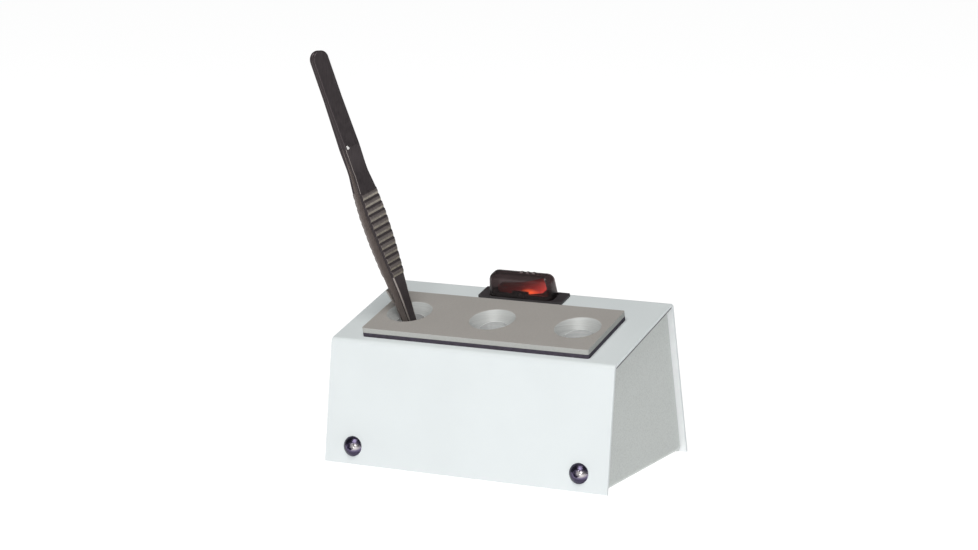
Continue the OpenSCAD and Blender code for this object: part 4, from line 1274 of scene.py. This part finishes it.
def make_fuse_drawer():
    spot = (0.0, DRAWER_DOWN)
    tray_low = INLET_FLANGE_T - DRAWER_L
    tray = add_slab(DRAWER_W, DRAWER_H, tray_low, INLET_FLANGE_T + LIP_T / 2, spot)
    lip = add_slab(LIP_W, LIP_H, INLET_FLANGE_T, INLET_FLANGE_T + LIP_T, spot)
    round_edges(lip, is_corner, LIP_CORNER, steps=4)
    soften(lip, LIP_SOFT, steps=3)
    unite(tray, lip)
    pocket = add_block(
        (FUSE_L + 2 * FUSE_ROOM, DRAWER_H, 2 * FUSE_R + FUSE_ROOM),
        (0.0, DRAWER_DOWN - DRAWER_H / 2 + FUSE_R, FUSE_Z),
    )
    notch = add_block(
        (NOTCH_W, NOTCH_H, 2 * LIP_T), (0.0, DRAWER_DOWN + LIP_H / 2, INLET_FLANGE_T + 1.5 * LIP_T)
    )
    round_edges(notch, is_corner, NOTCH_CORNER, steps=3)
    cut(tray, pocket, notch)
    soften(tray, DRAWER_SOFT, angle=50.0)
    smooth(tray)
    hand_over(tray, "fuse_drawer_tray", INLET, "fuse_drawer", "black_plastic", "fuse_drawer")


def make_fuse():
    lying = INLET @ moved(-FUSE_L / 2, DRAWER_DOWN - FUSE_SIT, FUSE_Z) @ turned(90, "Y")
    tube = add_round(FUSE_R - FUSE_CAP_T, FUSE_GLASS_IN, FUSE_L - FUSE_GLASS_IN, sides=48)
    open_ends(tube, lambda f: faces_up(f) or faces_down(f))
    thicken(tube, FUSE_GLASS_T)
    smooth(tube)
    hand_over(tube, "fuse_tube", lying, "fuse_drawer", "fuse_glass", "fuse")
    ends = []
    for low_end in (0.0, FUSE_L - FUSE_CAP_L):
        cap = add_round(FUSE_R, low_end, low_end + FUSE_CAP_L, sides=48)
        soften(cap, FUSE_CAP_SOFT, steps=3)
        ends.append(cap)
    ends.append(add_round(FUSE_WIRE_R, FUSE_CAP_L - OVER, FUSE_L - FUSE_CAP_L + OVER, sides=8))
    caps = join(ends)
    smooth(caps)
    hand_over(caps, "fuse_caps", lying, "fuse_drawer", "zinc_steel")


# Forceps


def arm_width(z):
    for (low, low_w), (high, high_w) in zip(ARM_WIDTHS, ARM_WIDTHS[1:]):
        if z <= high:
            return low_w + (high_w - low_w) * (z - low) / (high - low)
    return ARM_WIDTHS[-1][1]


def arm_inner(z):
    """Distance of an arm's inner face from the middle, bowed between tip and hinge."""
    t = z / HINGE_Z
    return TIP_GAP * (1 - t) + HINGE_HALF * t + 4 * ARM_BOW * t * (1 - t)


def arm_thickness(z):
    root = HEEL_THIN * max(0.0, 1.0 - (HINGE_Z - z) / ROOT_L)
    return TIP_T + (ARM_T - TIP_T) * min(z / GRIP_Z, 1.0) + root


def arm_levels():
    """Heights along the arm, each with the rise of its ridge there."""
    levels = [(z, 0.0) for z in LEVELS_BELOW_GRIP]
    for i in range(RIDGE_COUNT):
        foot = GRIP_Z + i * RIDGE_PITCH
        levels += [(foot + share * RIDGE_PITCH, rise * RIDGE_H) for share, rise in RIDGE_SHAPE]
    return levels + [(z, 0.0) for z in LEVELS_ABOVE_GRIP]


def make_arm(name, side):
    levels = arm_levels()
    arm = add_slab(1.0, 1.0, 0.0, levels[1][0])
    for (low, _), (high, _) in zip(levels[1:], levels[2:]):
        step = (0.0, 0.0, high - low)
        extrude(arm, "FACE", lambda f: faces_up(f) and near(middle_of(f).z, low), step)
    for z, rise in levels:
        thickness = arm_thickness(z)
        outer = arm_inner(z) + thickness
        pick(arm, "VERT", lambda v: near(v.co.z, z))
        bpy.ops.transform.resize(value=(thickness, arm_width(z), 1.0), center_override=(0.0, 0.0, z))
        bpy.ops.transform.translate(value=(side * (arm_inner(z) + thickness / 2), 0.0, 0.0))
        done()
        if rise:
            pick(arm, "VERT", lambda v: near(v.co.z, z) and near(v.co.x, side * outer))
            bpy.ops.transform.translate(value=(side * rise, 0.0, 0.0))
            bpy.ops.transform.resize(value=(1.0, 1.0 - 2 * RIDGE_END / arm_width(z), 1.0))
            done()
    round_edges(arm, lambda e: is_shank_edge(e, side), ARM_ROUND, steps=5)
    round_edges(arm, is_long_edge, ARM_EDGE, steps=3)
    soften(arm, ARM_SOFT, angle=30.0)
    smooth(arm, angle=30.0)
    node = "forceps_arm_" + name
    piece = hand_over(arm, node + "_ridged", FORCEPS, "forceps_" + name, "forceps_steel", node)
    dress_arm(piece, side)


def is_long_edge(edge):
    """An edge along the arm where two of its long faces meet."""
    run = (edge.verts[1].co - edge.verts[0].co).normalized()
    return abs(run.z) >= 0.8 and is_sharp(edge)


def is_shank_edge(edge, side):
    """A long edge of the arm's outer face, below the grip."""
    is_outer = any(side * f.normal.x > 0.8 for f in edge.link_faces)
    return is_outer and is_long_edge(edge) and middle_of(edge).z < GRIP_Z


def dress_arm(piece, side):
    """Painted shade on the narrow sides, painted light on the inner faces and the far arm's lower narrow
    sides, lighter ridge crests, and painted highlights on the ridges' lower flanks and the outer bevels.
    """
    to_forceps = FORCEPS.inverted()
    highlight_facing = Vector((side * 0.89, 0.0, -0.46))

    def spot(face):
        return to_forceps @ in_mm(face.center)

    def facing(face):
        return to_forceps.to_3x3() @ face.normal

    def outward(face):
        return side * facing(face).x

    def rise(face):
        return side * spot(face).x - arm_inner(spot(face).z) - arm_thickness(spot(face).z)

    def is_on_grip(face):
        return GRIP_Z - 0.3 < spot(face).z < GRIP_TOP

    def is_narrow_side(face):
        return abs(outward(face)) < 0.5

    # Painted shade on the narrow sides
    dress_faces(piece, "shaded_edge_steel", is_narrow_side)
    # Painted light on the far arm's narrow sides below the grip's top
    if side < 0:
        dress_faces(piece, "lit_rim_steel", lambda f: is_narrow_side(f) and spot(f).z < GRIP_TOP)
    # Painted light on the inner faces
    dress_faces(piece, "lit_inner_steel", lambda f: outward(f) < -0.9)
    dress_faces(piece, "ridge_steel", lambda f: rise(f) > 0.6 * RIDGE_H)
    # Painted highlight on the faces that look along the highlight's direction
    dress_faces(piece, "ridge_highlight_steel", lambda f: facing(f).dot(highlight_facing) > 0.955)
    # Painted highlight on the outer bevels off the grip
    dress_faces(piece, "bevel_highlight_steel", lambda f: 0.3 < outward(f) < 0.95 and not is_on_grip(f))


def make_heel():
    leaf_t = HINGE_HALF + ARM_T
    foot = HINGE_Z + HINGE_SEAM
    shoulder = HINGE_Z + (FORCEPS_L - HINGE_Z) / 2
    tip_round = HEEL_W / 2 - HEEL_FLAT
    leaves = []
    for side in (-1, 1):
        leaf = add_slab(leaf_t, HEEL_W, foot, FORCEPS_L, (side * leaf_t / 2, 0.0))
        pick_all(leaf)
        bpy.ops.mesh.bisect(plane_co=(0.0, 0.0, shoulder), plane_no=(0.0, 0.0, 1.0))
        done()
        pick(leaf, "VERT", lambda v: near(v.co.z, foot) and near(v.co.x, side * leaf_t))
        bpy.ops.transform.translate(value=(side * HEEL_THIN, 0.0, 0.0))
        done()
        round_edges(leaf, lambda e: near(middle_of(e).z, FORCEPS_L) and along(e, 0), tip_round, steps=12)
        round_edges(leaf, lambda e: is_sharp(e) and not at_level(e, foot), HEEL_EDGE, steps=3)
        leaves.append(leaf)
    heel = join(leaves)
    smooth(heel, angle=40.0)
    piece = hand_over(heel, "forceps_heel_leaves", FORCEPS, "forceps", "forceps_steel", "forceps_heel")
    # Painted shade on the heel's narrow sides
    across = direction(FORCEPS, (1.0, 0.0, 0.0))
    dress_faces(piece, "shaded_edge_steel", lambda f: abs(f.normal.dot(across)) < 0.5)


def make_fork_bead():
    """Small polished bead where the arms part."""
    bead = add_round(BEAD_R, -BEAD_T / 2, BEAD_T / 2, sides=24)
    round_edges(bead, lambda e: at_level(e, BEAD_T / 2), BEAD_SOFT, steps=4)
    smooth(bead, angle=50.0)
    spot = moved(ARM_T + HEEL_THIN, BEAD_IN - HEEL_W / 2, HINGE_Z + BEAD_UP)
    place = FORCEPS @ spot @ turned(BEAD_TURN, "Z") @ turned(90, "Y")
    hand_over(bead, "forceps_fork_bead", place, "forceps", "stainless")


def make_arm_lug():
    """Small tapering lug on the far arm's edge, above the well."""
    edge_y = -arm_width(LUG_TOP) / 2
    spot = (0.0, edge_y - LUG_W / 2 + LUG_SINK)
    lug = add_slab(TIP_T, LUG_W, LUG_TOP - LUG_H, LUG_TOP, spot)
    pick(lug, "VERT", lambda v: v.co.z < LUG_TOP - 0.1 and v.co.y < edge_y - 0.1)
    bpy.ops.transform.translate(value=(0.0, LUG_W - LUG_POINT, 0.0))
    done()
    soften(lug, LUG_SOFT, steps=3)
    smooth(lug, angle=40.0)
    place = FORCEPS @ moved(-arm_inner(LUG_TOP) - TIP_T / 2, 0, 0)
    piece = hand_over(lug, "forceps_arm_left_lug", place, "forceps_left", "forceps_steel")
    # The whole lug gets the lighter steel: painted highlight
    dress_faces(piece, "bevel_highlight_steel", lambda f: True)


# Finishes of the part's own solids, by the slots in its record


def dress_own_solids():
    for entry in frame["record"]["subparts"]:
        piece = frame["nodes"][entry["node"]]
        piece.data.materials.clear()
        piece.data.materials.append(FINISHES[entry["material_slot"]])


add_camera()
light_studio()
lay_floor(floor_finish())
dress_own_solids()
make_cover()
make_shadow_strips()
make_cover_screws()
make_feet()
make_plate()
make_gasket()
make_cups()
make_bezel()
make_boot()
make_rocker()
make_inlet()
make_inlet_prongs()
make_inlet_screws()
make_fuse_drawer()
make_fuse()
make_heel()
make_fork_bead()
make_arm("left", -1)
make_arm("right", 1)
make_arm_lug()
